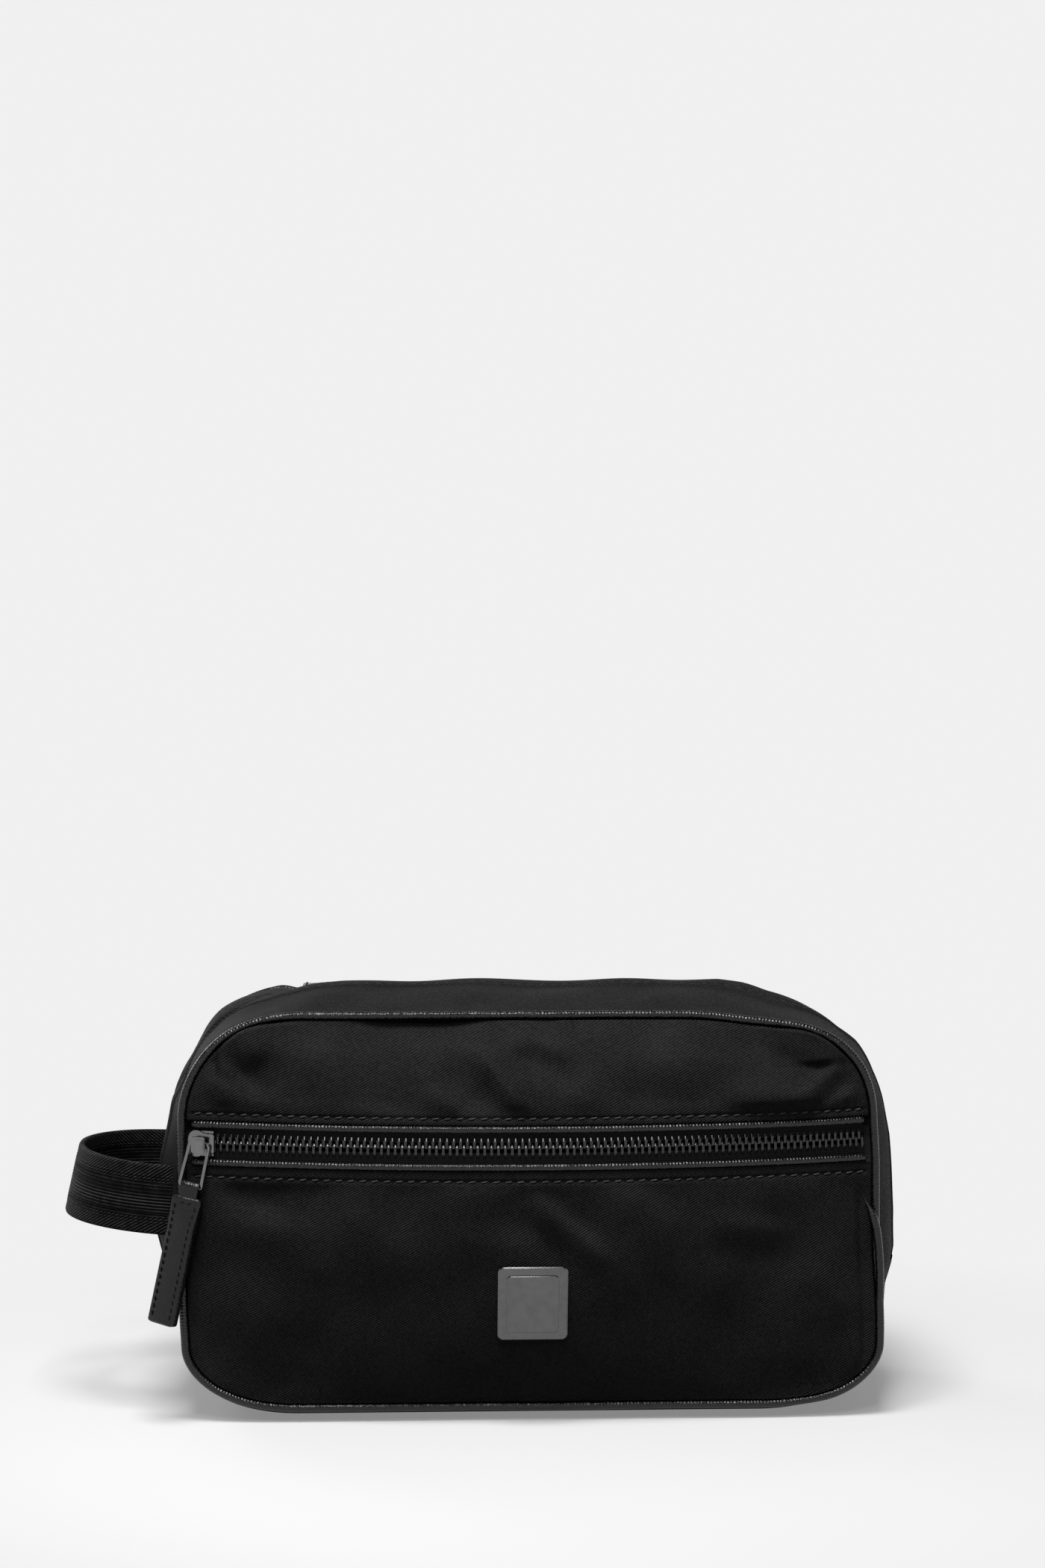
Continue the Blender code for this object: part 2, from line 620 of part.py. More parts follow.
def tab(name, frame, pivot):
    """A thick leather tab whose neck is folded round the stirrup's foot."""
    half = TAB_THICK / 2
    neck_half = YOKE_HALF - YOKE_WIRE - RUN
    sides = 12
    loops = {"hole": [], "skin": []}
    for k in range(sides):
        turn = 2 * math.pi * (k + 0.5) / sides
        y, z = math.sin(turn), math.cos(turn)
        loops["hole"].append((TAB_EYE_HOLE * y, TAB_EYE_HOLE * z))
        if y > -0.5:
            loops["skin"].append((TAB_EYE_OUTER * y, TAB_EYE_OUTER * z))
        else:
            drop = TAB_NECK if abs(z) < 0.5 else TAB_EYE_OUTER
            loops["skin"].append((-drop, math.copysign(half, z)))
    rings = []
    for hole, skin in zip(loops["hole"], loops["skin"]):
        ring = [(-neck_half, *hole), (-neck_half, *skin), (neck_half, *skin), (neck_half, *hole)]
        rings.append([frame @ Vector(p) for p in ring])
    end = -TAB_NECK - TAB_LENGTH
    start = -TAB_EYE_OUTER - YOKE_WIRE - RUN
    outline = [(-TAB_HALF, start - TAB_HALF / 3), (-TAB_HALF * 2 / 3, start)]
    outline += [(TAB_HALF * 2 / 3, start), (TAB_HALF, start - TAB_HALF / 3)]
    outline += [(TAB_HALF, end + TAB_CORNER), (TAB_HALF - TAB_CORNER, end)]
    outline += [(TAB_CORNER - TAB_HALF, end), (-TAB_HALF, end + TAB_CORNER)]
    body = [[frame @ Vector((x, y, z)) for x, y in outline] for z in (-half, half)]
    joined(name, [sweep_data(body), sweep_data(rings, closed=True)], LEATHER, pivot)


def turned(frame, axis, degrees):
    return frame @ Matrix.Rotation(math.radians(degrees), 4, axis)


def pull(prefix, frame, lean, standoff, droop):
    """A stirrup and its tab, on a bar through the slider's lug."""
    bar = turned(frame @ Matrix.Translation((0, 0, BAR_HEIGHT)), "Z", -lean)
    hung = turned(bar, "X", -standoff)
    yoke(f"{prefix}_yoke", hung, bar.translation)
    foot = turned(hung @ Matrix.Translation((0, -YOKE_DROP, 0)), "X", droop)
    tab(f"{prefix}_tab", foot, foot.translation)
    return bar, foot


def pocket_frame():
    place = on_arc(-POCKET_ANGLE, CHAIN_RADIUS, ZIP_HEIGHT)
    facing = Matrix.Rotation(-POCKET_ANGLE, 4, "Z") @ Matrix.Rotation(math.pi / 2, 4, "X")
    return Matrix.Translation(place) @ facing


def mouth_frame():
    top = on_gusset(((-PARK, PIPING_HIGH), (0.0, 1.0)), 0.0, -TAPE_DEPTH)
    return Matrix.Translation(top) @ Matrix.Rotation(math.pi, 4, "Z")


slider("pocket_slider", pocket_frame(), -1, (0, ARC_Y, ZIP_HEIGHT))
pull("pocket", pocket_frame(), PULL_LEAN, PULL_STANDOFF, 0.0)
slider("mouth_slider", mouth_frame(), 1, mouth_frame().translation)
pull("mouth", mouth_frame(), 0.0, clear_lift(), clear_droop())


# Side loop of webbing, from the front side seam round to the back one
def side_loop():
    sewn = EDGE_Y - LOOP_INSET
    inner = sewn - WEBBING
    start = HALF_WIDTH + swell((1.0, 0.0), inner) + FABRIC / 2 + GAP
    rings = []
    steps = 18
    for k in range(steps + 1):
        turn = math.pi * (k / steps - 0.5)
        ring = []
        for out, up in ((0, -1), (0, 1), (1, 1), (1, -1)):
            reach = LOOP_REACH - WEBBING + out * WEBBING
            deep = inner + out * WEBBING
            x = -start - reach * math.cos(turn)
            ring.append(Vector((x, deep * math.sin(turn), LOOP_HEIGHT + up * WEBBING_WIDTH / 2)))
        rings.append(ring)
    sweep("side_loop", rings, WEB)


# Plain bevelled plate on the lower front
def front_plate():
    here = front_mid(0.0, PLATE_HEIGHT) - FABRIC / 2
    step = PLATE_BEVEL
    slope = (front_mid(0.0, PLATE_HEIGHT + step) - front_mid(0.0, PLATE_HEIGHT - step)) / (2 * step)
    seat = Matrix.Translation((0, here, PLATE_HEIGHT)) @ Matrix.Rotation(-math.atan(slope), 4, "X")
    rings = []
    for out, inset in ((GAP, 0), (GAP + PLATE_THICK - PLATE_BEVEL, 0), (GAP + PLATE_THICK, PLATE_BEVEL)):
        wide, high = PLATE_WIDTH / 2 - inset, PLATE_HIGH / 2 - inset
        corners = ((-wide, -high), (wide, -high), (wide, high), (-wide, high))
        rings.append([seat @ Vector((x, -out, z)) for x, z in corners])
    sweep("front_plate", rings, GUNMETAL, smooth=False)


side_loop()
front_plate()
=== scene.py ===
"""Dressed model of the zipped wash bag: nylon shell, leather trim, zips, pulls and side loop."""

import json
import math

import bmesh
import bpy
import numpy as np
from mathutils import Matrix, Vector


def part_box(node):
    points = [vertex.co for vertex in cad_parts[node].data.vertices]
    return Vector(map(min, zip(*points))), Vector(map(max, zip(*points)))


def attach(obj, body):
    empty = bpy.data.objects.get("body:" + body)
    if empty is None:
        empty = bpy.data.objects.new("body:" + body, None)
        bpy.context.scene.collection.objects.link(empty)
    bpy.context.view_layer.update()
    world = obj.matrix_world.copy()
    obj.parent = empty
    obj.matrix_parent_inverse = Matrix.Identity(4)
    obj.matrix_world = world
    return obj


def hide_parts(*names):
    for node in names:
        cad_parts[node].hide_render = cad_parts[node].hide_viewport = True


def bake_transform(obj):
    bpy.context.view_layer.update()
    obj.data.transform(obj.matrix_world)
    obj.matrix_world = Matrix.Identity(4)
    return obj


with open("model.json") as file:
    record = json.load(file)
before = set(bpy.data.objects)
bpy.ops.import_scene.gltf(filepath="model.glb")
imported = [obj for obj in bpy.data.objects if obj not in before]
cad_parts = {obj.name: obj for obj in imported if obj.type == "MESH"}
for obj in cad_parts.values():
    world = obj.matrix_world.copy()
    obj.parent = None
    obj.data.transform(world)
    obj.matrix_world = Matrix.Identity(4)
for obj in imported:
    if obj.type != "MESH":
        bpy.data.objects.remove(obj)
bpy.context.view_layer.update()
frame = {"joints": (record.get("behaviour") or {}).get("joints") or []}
JOINTS = {joint["name"]: joint for joint in frame["joints"]}

# Sizes of the shell, in metres, as the solids have them
GAP = 0.0003
CORD_RADIUS = 0.0015
FABRIC = 0.0016
LINING = 0.0007
TOP_CORNER_ACROSS = 0.0450
TOP_CORNER_HIGH = 0.0370
BASE_CORNER_ACROSS = 0.0410
BASE_CORNER_HIGH = 0.0215
SIDE_BULGE = 0.0110
FRONT_BULGE = 0.0070
TOP_BULGE = 0.0024
BACK_BULGE = 0.008
BASE_FLAT = 0.70
FRONT_RADIUS = 0.400
SIDE_SEAM = 0.052
HEM_WIDTH = 0.0104
HEM_SEWN = 0.0078  # from the fold of a strip's hem to its row of stitches
HEM_RISE = 0.0006
POCKET_DEPTH = 0.0040

# Sizes of the zips, pulls, loop and plate
PITCH = 0.00243
CHAIN_HALF = 0.0030
CHAIN_THICK = 0.0024
CHAIN_SINK = 0.0022  # how much deeper the top chain lies than in the solids
TAPE = 0.0006
TAPE_REACH = 0.0120
TAPE_SEWN = 0.0030
WELT_RADIUS = 0.0013
SLIDER_LENGTH = 0.0098
SLIDER_HALF = 0.0048
SLIDER_PLATE = 0.0011
RUN = 0.0004
SIDE_RUN = 0.0006
LUG_CLEAR = 0.0025
LUG_BAR = 0.0010
LUG_TUNNEL_HALF = 0.0019
YOKE_HALF = 0.0047
YOKE_DROP = 0.0154
YOKE_WIRE = 0.0012
YOKE_TOP = 0.0036  # half width at the slider
YOKE_TURN = 0.0011  # reach of a corner's turn
YOKE_DEEPER = 0.0006  # what the legs gain towards the foot
TAB_LENGTH = 0.0437
TAB_HALF = 0.0055
TAB_THICK = 0.0030
TAB_NECK = 0.0060
TAB_EYE_OUTER = 0.0021
TAB_CORNER = 0.0012
TAB_SOFT = 0.0006  # rounding of the tab's long edges
TAB_STITCH_IN = 0.0016
TAB_STITCH = (0.0026, 0.0019, 0.00022)  # pitch, length and radius
PULL_LEAN = 10.5
PULL_STANDOFF = 6.5
MOUTH_LIFT = -3.0  # degrees, top stirrup lying on the rear strip
MOUTH_DROOP = 2.3  # degrees, top tab lying back over the rear edge
TAB_TWIST = 17.0  # degrees, pocket tab turned by its fold
WEBBING_WIDTH = 0.025
WEBBING = 0.0020
PLATE_BEVEL = 0.0010
PLATE_THICK = 0.0022
PLATE_RIM = 0.0032  # width of the lower rim round the plate's face
PLATE_TALLER = 1.12  # height of the plate by its width
STITCH_PITCH = 0.0043
STITCH_LENGTH = 0.0028
STITCH_LEAN = 0.00022  # how far a stitch's ends lie to either side of its row
THREAD_RADIUS = 0.00034
STITCH_IN = 0.0036  # from a panel's folded edge to its row of stitches

# Places, from the frame and the sizes above
PIPING_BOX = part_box("front_piping")
HALF_WIDTH = PIPING_BOX[1].x - CORD_RADIUS
PIPING_LOW = PIPING_BOX[0].z + CORD_RADIUS
PIPING_HIGH = PIPING_BOX[1].z - CORD_RADIUS
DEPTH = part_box("back_piping")[0].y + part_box("back_piping")[1].y
PANEL_INSET = CORD_RADIUS + GAP
EDGE_Y = DEPTH / 2 - PANEL_INSET
PANEL_HALF = HALF_WIDTH - PANEL_INSET
PANEL_LOW = PIPING_LOW + PANEL_INSET
PANEL_HIGH = PIPING_HIGH - PANEL_INSET
MIDDLE_HEIGHT = (PIPING_LOW + PIPING_HIGH) / 2
SHOULDER = PIPING_HIGH - TOP_CORNER_HIGH
BASE_TURN = PIPING_LOW + BASE_CORNER_HIGH
BASE_DROP = PIPING_LOW - FABRIC / 2
TOP_STRAIGHT = HALF_WIDTH - TOP_CORNER_ACROSS
TRENCH = SLIDER_HALF + SIDE_RUN
TAPE_DEPTH = FABRIC / 2 + GAP + TAPE / 2
TAPE_EDGE = CHAIN_HALF - 0.0012
SUNK_DEPTH = TAPE_DEPTH + CHAIN_SINK
ARC_END = math.sqrt(FRONT_RADIUS ** 2 - PANEL_HALF ** 2)
ARC_Y = JOINTS["pocket_zip"]["pos_m"][1]
ZIP_HEIGHT = JOINTS["pocket_zip"]["pos_m"][2]
POCKET_ANGLE = math.radians(JOINTS["pocket_zip"]["range_deg"][1]) / 2
WELT_HEIGHT = TRENCH + WELT_RADIUS
RIM = TRENCH + 2 * WELT_RADIUS + GAP
WELT_ARC = FRONT_RADIUS + WELT_RADIUS - FABRIC / 2
CHAIN_RADIUS = FRONT_RADIUS - TAPE_DEPTH
PLATE_INNER = CHAIN_THICK / 2 + RUN
PLATE_OUTER = PLATE_INNER + SLIDER_PLATE
BAR_HEIGHT = PLATE_OUTER + LUG_CLEAR / 2
LOWER_TOP = ZIP_HEIGHT - RIM
UPPER_BASE = ZIP_HEIGHT + RIM
WALL_Y = -DEPTH / 2 + POCKET_DEPTH
BACK_WALL_Y = DEPTH / 2 - POCKET_DEPTH - LINING


# Camera, fitted to the photograph's 1400 by 2100 frame
CAMERA_PLACE = (-0.0553, -1.25, 0.2828)
CAMERA_TILT = 2.58  # degrees down
CAMERA_TURN = 2.5  # degrees to the right
CAMERA_LENS = 77.47
CAMERA_SENSOR = 36.0


def new_object(name, data):
    made = bpy.data.objects.new(name, data)
    bpy.context.collection.objects.link(made)
    return made


def add_camera():
    data = bpy.data.cameras.new("camera")
    data.sensor_width = CAMERA_SENSOR
    data.lens = CAMERA_LENS
    made = new_object("camera", data)
    made.location = CAMERA_PLACE
    made.rotation_euler = (math.radians(90 - CAMERA_TILT), 0.0, math.radians(-CAMERA_TURN))
    bpy.context.scene.camera = made


add_camera()


# Materials
class Nodes:
    """Short calls for building one node tree."""

    def __init__(self, made):
        self.made = made
        self.tree = made.node_tree

    def feed(self, socket, value):
        """Links an output to a socket, or sets the socket's own value."""
        if isinstance(value, bpy.types.NodeSocket):
            self.tree.links.new(value, socket)
        else:
            socket.default_value = value

    def add(self, kind, inputs, **settings):
        node = self.tree.nodes.new("ShaderNode" + kind)
        for key, value in settings.items():
            setattr(node, key, value)
        for key, value in inputs.items():
            self.feed(node.inputs[key], value)
        return node

    def math(self, operation, first, second=0.0):
        return self.add("Math", {0: first, 1: second}, operation=operation).outputs[0]

    def times(self, first, second):
        return self.math("MULTIPLY", first, second)

    def plus(self, first, second):
        return self.math("ADD", first, second)

    def place(self):
        return self.add("TexCoord", {}).outputs["Object"]

    def flat(self):
        """The cloth's own coordinates, in metres."""
        split = self.add("SeparateXYZ", {0: self.add("UVMap", {}, uv_map="flat").outputs[0]})
        return split.outputs[0], split.outputs[1]

    def waves(self, along, pitch):
        """A sine from -1 to 1 that repeats every pitch metres."""
        return self.math("SINE", self.times(along, 2 * math.pi / pitch))

    def noise(self, size, detail):
        inputs = {"Scale": 1 / size, "Detail": detail, "Vector": self.place()}
        return self.add("TexNoise", inputs).outputs["Fac"]

    def ramp(self, factor, stops):
        node = self.add("ValToRGB", {0: factor})
        first, last = node.color_ramp.elements
        for element, (place, colour) in zip((first, last), stops):
            element.position = place
            element.color = (*colour, 1.0)
        return node.outputs[0]

    def span(self, factor, low, high):
        return self.add("MapRange", {"Value": factor, "To Min": low, "To Max": high}).outputs[0]

    def step(self, value, low, high):
        """0 up to the low value, 1 from the high one on, and smooth between them."""
        inputs = {"Value": value, "From Min": low, "From Max": high}
        return self.add("MapRange", inputs, interpolation_type="SMOOTHSTEP").outputs[0]

    def dress(self, shader, tone, stops, wear, rough, height=None, strength=0.0, distance=0.0):
        """Colours a shader by tone, roughens it by wear and bumps it by height."""
        self.feed(shader.inputs["Base Color"], self.ramp(tone, stops))
        self.feed(shader.inputs["Roughness"], self.span(wear, *rough))
        if height is not None:
            inputs = {"Strength": strength, "Distance": distance, "Height": height}
            self.feed(shader.inputs["Normal"], self.add("Bump", inputs).outputs[0])
        return self.made


def new_look(name, specular, metallic=0.0, sheen=0.0):
    """The node calls and the shader of a new material."""
    made = bpy.data.materials.new(name)
    made.use_nodes = True
    shader = made.node_tree.nodes["Principled BSDF"]
    shader.inputs["Specular IOR Level"].default_value = specular
    shader.inputs["Metallic"].default_value = metallic
    shader.inputs["Sheen Weight"].default_value = sheen
    return Nodes(made), shader


def grey(value, warm=0.0):
    return (value * (1 + warm), value, value * (1 - warm / 2))


def nylon():
    """Black twill: fine slanting ribs with a satin face and uneven dye."""
    nodes, shader = new_look("black_twill", specular=0.015)
    u, v = nodes.flat()
    slant = nodes.math("SUBTRACT", nodes.times(v, 0.88), nodes.times(u, 0.48))
    ribs = nodes.waves(slant, pitch=0.00080)
    picks = nodes.waves(nodes.plus(u, nodes.times(v, 0.35)), pitch=0.00062)
    weave = nodes.plus(ribs, nodes.times(picks, 0.35))
    blotch = nodes.noise(size=0.016, detail=5.0)
    specks = nodes.math("SUBTRACT", nodes.noise(size=0.0011, detail=2.0), 0.5)
    cloud = nodes.plus(nodes.times(blotch, 0.45), 0.275)
    tone = nodes.plus(nodes.plus(nodes.times(weave, 0.24), cloud), nodes.times(specks, 0.7))
    stops = [(0.15, grey(0.0054)), (0.85, grey(0.0280, 0.015))]
    return nodes.dress(shader, tone, stops, blotch, (0.44, 0.58), weave, strength=0.6, distance=0.00016)


def leather(name, rib_pitch, dark, light, gloss):
    """Pebbled leather with a waxy gloss; a rib pitch adds the creases of a wrapped cord."""
    nodes, shader = new_look(name, specular=gloss)
    grain = nodes.add("TexVoronoi", {"Scale": 1 / 0.00075, "Vector": nodes.place()})
    height = nodes.times(grain.outputs["Distance"], -1.0)
    if rib_pitch:
        u, _ = nodes.flat()
        height = nodes.plus(height, nodes.times(nodes.waves(u, rib_pitch), 0.40))
    worn = nodes.noise(size=0.004, detail=4.0)
    stops = [(0.3, grey(dark)), (0.75, grey(light, 0.02))]
    return nodes.dress(shader, worn, stops, worn, (0.22, 0.34), height, strength=0.5, distance=0.00028)


def cloth(name, dark, light, pitch, sheen):
    """Plain woven cloth: crossing threads and a little fuzz."""
    nodes, shader = new_look(name, specular=0.15, sheen=sheen)
    u, v = nodes.flat()
    threads = nodes.plus(nodes.waves(u, pitch), nodes.waves(v, pitch))
    fuzz = nodes.noise(size=0.004, detail=4.0)
    tone = nodes.plus(nodes.times(threads, 0.1), fuzz)
    stops = [(0.2, grey(dark)), (0.9, grey(light))]
    return nodes.dress(shader, tone, stops, fuzz, (0.65, 0.85), threads, strength=0.4, distance=0.00012)


def webbing():
    """Ribbed webbing: lengthwise ribs that slant into a chevron along both edges."""
    nodes, shader = new_look("black_webbing", specular=0.04)
    u, v = nodes.flat()
    edge = nodes.step(nodes.math("ABSOLUTE", v), 0.0052, 0.0066)
    slant = nodes.times(nodes.times(u, 0.62), edge)
    ribs = nodes.waves(nodes.plus(v, slant), pitch=0.00118)
    weave = nodes.plus(ribs, nodes.times(nodes.waves(u, pitch=0.0009), 0.25))
    fuzz = nodes.noise(size=0.003, detail=4.0)
    tone = nodes.plus(nodes.times(weave, 0.38), fuzz)
    stops = [(0.30, grey(0.0012)), (0.95, grey(0.040))]
    return nodes.dress(shader, tone, stops, fuzz, (0.50, 0.72), weave, strength=0.8, distance=0.00022)


def plated(name, colour, low, high):
    """Dark plated metal with a faint cloud in its polish."""
    nodes, shader = new_look(name, specular=0.5, metallic=1.0)
    cloud = nodes.noise(size=0.003, detail=4.0)
    stops = [(0.3, tuple(c * 0.85 for c in colour)), (0.7, colour)]
    return nodes.dress(shader, cloud, stops, cloud, (low, high))


NYLON = nylon()
PIPING_LEATHER = leather("piping_leather", 0.0012, 0.0012, 0.0036, 0.42)
LEATHER = leather("tab_leather", 0.0, 0.0024, 0.0070, 0.34)
WEB = webbing()
TAPE_CLOTH = cloth("zip_tape_weave", 0.0015, 0.0055, 0.0007, 0.0)
LINING_CLOTH = cloth("lining_weave", 0.020, 0.040, 0.0005, 0.1)
THREAD = cloth("black_thread", 0.003, 0.009, 0.0003, 0.0)
# Black thread coloured light grey: a painted sheen for the pocket's rows of stitches
PALE_THREAD_PAINTED_SHEEN = cloth("thread_painted_sheen", 0.035, 0.080, 0.0003, 0.0)
# Black thread coloured mid grey: a painted sheen for the strips' hem stitches
HEM_THREAD_PAINTED_SHEEN = cloth("hem_thread_painted_sheen", 0.016, 0.040, 0.0003, 0.0)
GUNMETAL = plated("gunmetal_polish", grey(0.20), 0.14, 0.26)
PLATE_METAL = plated("gunmetal_plate", grey(0.13), 0.16, 0.24)
# The slider's gunmetal coloured much darker for the teeth: painted shade for the dark surroundings their
# faces reflect
TEETH = plated("gunmetal_teeth", grey(0.055), 0.16, 0.24)


# Uneven filling of the shell: a middle across and up, a reach, and a move across and up
SETTLES = np.array([
    (126, 33, 23, 1.7, 0),
    (126, 72, 26, -0.2, 0),
    (112, 9, 15, 0.4, -1.2),
    (86, 147, 18, -0.3, -2.6),
    (125, 112, 14, -1.2, 0.2),
    (-106, 137, 19, -0.8, 1.2),
    (-122, 22, 15, 1.1, 0.6),
]) / 1000
BACK_SAG = 0.0020  # how much lower the back's top edge lies than the front's
HEM_SAG = 0.0018  # how far the back strip's hem dips towards the zip
FLOOR_CLEAR = (0.001, 0.008)  # heights over which the lift sets in above the floor
NEAR_TOP = (0.100, 0.140)  # heights over which the top's own sag sets in
BEHIND = (-0.005, 0.030)  # depths over which the back's sag sets in
SAG_END = (0.083, 0.092)  # distances from the middle over which that sag ends
LEVEL_END = 0.020  # depth at which the level zone beside the top zip ends


# Mesh helpers
def mesh_object(name, points, faces, stuffs, flat=None, kinds=None):
    """A mesh from world points; flat gives each point's place on the uncut cloth."""
    mesh = bpy.data.meshes.new(name)
    mesh.from_pydata([tuple(p) for p in points], [], [list(map(int, f)) for f in faces])
    for stuff in stuffs:
        mesh.materials.append(stuff)
    if flat is not None:
        layer = mesh.uv_layers.new(name="flat")
        corners = np.zeros(len(mesh.loops), np.int64)
        mesh.loops.foreach_get("vertex_index", corners)
        layer.data.foreach_set("uv", np.asarray(flat, np.float32)[corners].ravel())
    if kinds is not None:
        mesh.polygons.foreach_set("material_index", np.asarray(kinds, np.int32))
    mesh.shade_smooth()
    return new_object(name, mesh)


def grid_faces(rows, columns, wrap_rows=False, wrap_columns=False):
    i = np.arange(rows if wrap_rows else rows - 1)
    j = np.arange(columns if wrap_columns else columns - 1)
    a, b = np.meshgrid(i, j, indexing="ij")
    c, d = (a + 1) % rows, (b + 1) % columns
    corners = np.stack([a * columns + b, c * columns + b, c * columns + d, a * columns + d], axis=-1)
    return corners.reshape(-1, 4)


def along(points):
    """Length run along a line of points."""
    steps = np.linalg.norm(np.diff(points, axis=0), axis=1)
    return np.concatenate([[0.0], np.cumsum(steps)])


def joined(*columns):
    """Points or directions from their coordinates."""
    return np.stack(np.broadcast_arrays(*columns), axis=-1)


def sampled(places, length, line):
    """A line's points at places along its length."""
    return joined(*(np.interp(places, length, column) for column in line.T))


def unit(rows):
    return rows / np.linalg.norm(rows, axis=-1, keepdims=True)


def ring_turns(sides):
    return 2 * math.pi * np.arange(sides) / sides


def ease(value, low, high):
    """0 up to the low value, 1 from the high one on, and smooth between them."""
    t = np.clip((value - low) / (high - low), 0.0, 1.0)
    return t * t * (3 - 2 * t)


def face_out(made, outward):
    """Turns the faces over where most of them look against the outward direction."""
    made.data.update()
    total = sum((p.normal.dot(Vector(outward(p.center))) * p.area for p in made.data.polygons), 0.0)
    if total < 0:
        made.data.flip_normals()
    return made


def from_middle(point):
    return (point[0], point[1], point[2] - MIDDLE_HEIGHT)


def grid_object(name, points, stuffs, flat, kinds=None, wrap_rows=False, wrap_columns=False,
                outward=from_middle):
    rows, columns = points.shape[:2]
    faces = grid_faces(rows, columns, wrap_rows, wrap_columns)
    made = mesh_object(name, points.reshape(-1, 3), faces, stuffs, flat.reshape(-1, 2), kinds)
    return face_out(made, outward)


def settle(made):
    """Lets the soft shell lean out of its even outline, clear of the floor."""
    points = np.zeros(len(made.data.vertices) * 3)
    made.data.vertices.foreach_get("co", points)
    points = points.reshape(-1, 3)
    x, y, z = points.T.copy()
    top = ease(z, *NEAR_TOP)
    level = (1 - ease(np.abs(y), TRENCH, LEVEL_END)) * top
    for across, up, reach, aside, lift in SETTLES:
        weight = np.exp(-(np.hypot(x - across, z - up) / reach) ** 2)
        points[:, 0] += weight * aside
        points[:, 2] += weight * lift * ease(z, *FLOOR_CLEAR) * (1 - level)
    points[:, 2] -= BACK_SAG * (1 - ease(np.abs(x), *SAG_END)) * ease(y, *BEHIND) * top
    made.data.vertices.foreach_set("co", points.ravel())
    made.data.update()


def finish_piece(made, body, slot, *nodes):
    if body == "bag":
        settle(made)
    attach(made, body)
    if nodes:
        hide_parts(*nodes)
    return made


def ripples(u, v, size, seed, count=20):
    """Smooth uneven waves of about one size, the same on every run."""
    rng = np.random.default_rng(seed)
    turns = rng.uniform(0, 2 * math.pi, count)
    pace = 2 * math.pi * rng.uniform(0.6, 1.4, count) / size
    start = rng.uniform(0, 2 * math.pi, count)
    total = np.zeros(np.broadcast(u, v).shape)
    for turn, k, phase in zip(turns, pace, start):
        total = total + np.cos(k * (u * math.cos(turn) + v * math.sin(turn)) + phase)
    return total / math.sqrt(count / 2)


# Outline of the piping: place across, place up, normal across, normal up
def arc_run(centre, radii, start, end, steps):
    turn = np.radians(np.linspace(start, end, steps + 1))
    across, up = np.cos(turn) / radii[0], np.sin(turn) / radii[1]
    x, z = centre[0] + radii[0] * np.cos(turn), centre[1] + radii[1] * np.sin(turn)
    return np.concatenate([joined(x, z), unit(joined(across, up))], axis=1)


def straight_run(start, end, normal, steps):
    places = np.linspace(start, end, steps + 1)
    return np.concatenate([places, np.tile(normal, (steps + 1, 1))], axis=1)


def spaced(run, step):
    """The run at even steps along its length."""
    length = along(run[:, :2])
    keep = np.concatenate([[True], np.diff(length) > 1e-9])
    run, length = run[keep], length[keep]
    even = np.linspace(0, length[-1], max(2, round(length[-1] / step) + 1))
    made = sampled(even, length, run)
    made[:, 2:] = unit(made[:, 2:])
    return made


def mirrored(run):
    return run[::-1] * np.array([-1.0, 1.0, -1.0, 1.0])


def right_half():
    """Right side seam, up the side and over the shoulder to the middle of the top."""
    side = straight_run((HALF_WIDTH, SIDE_SEAM), (HALF_WIDTH, SHOULDER), (1.0, 0.0), 30)
    corner = arc_run((TOP_STRAIGHT, SHOULDER), (TOP_CORNER_ACROSS, TOP_CORNER_HIGH), 0, 90, 90)
    top = straight_run((TOP_STRAIGHT, PIPING_HIGH), (0.0, PIPING_HIGH), (0.0, 1.0), 40)
    return np.concatenate([side, corner, top])


def base_half():
    """Middle of the base, round the corner and up to the right side seam."""
    turn = HALF_WIDTH - BASE_CORNER_ACROSS
    flat = straight_run((0.0, PIPING_LOW), (turn, PIPING_LOW), (0.0, -1.0), 40)
    corner = arc_run((turn, BASE_TURN), (BASE_CORNER_ACROSS, BASE_CORNER_HIGH), -90, 0, 60)
    side = straight_run((HALF_WIDTH, BASE_TURN), (HALF_WIDTH, SIDE_SEAM), (1.0, 0.0), 10)
    return np.concatenate([flat, corner, side])


CLOTH_STEP = 0.0018
RING_STEP = 0.0010
TOP_HALVES = [right_half(), mirrored(right_half())]
BASE_HALVES = [mirrored(base_half()), base_half()]
RIGHT = spaced(TOP_HALVES[0], CLOTH_STEP)
LEFT = mirrored(RIGHT)
TOP_RUN = spaced(np.concatenate(TOP_HALVES), CLOTH_STEP)
BASE = spaced(np.concatenate(BASE_HALVES), CLOTH_STEP)
RING = spaced(np.concatenate(BASE_HALVES + TOP_HALVES), RING_STEP)

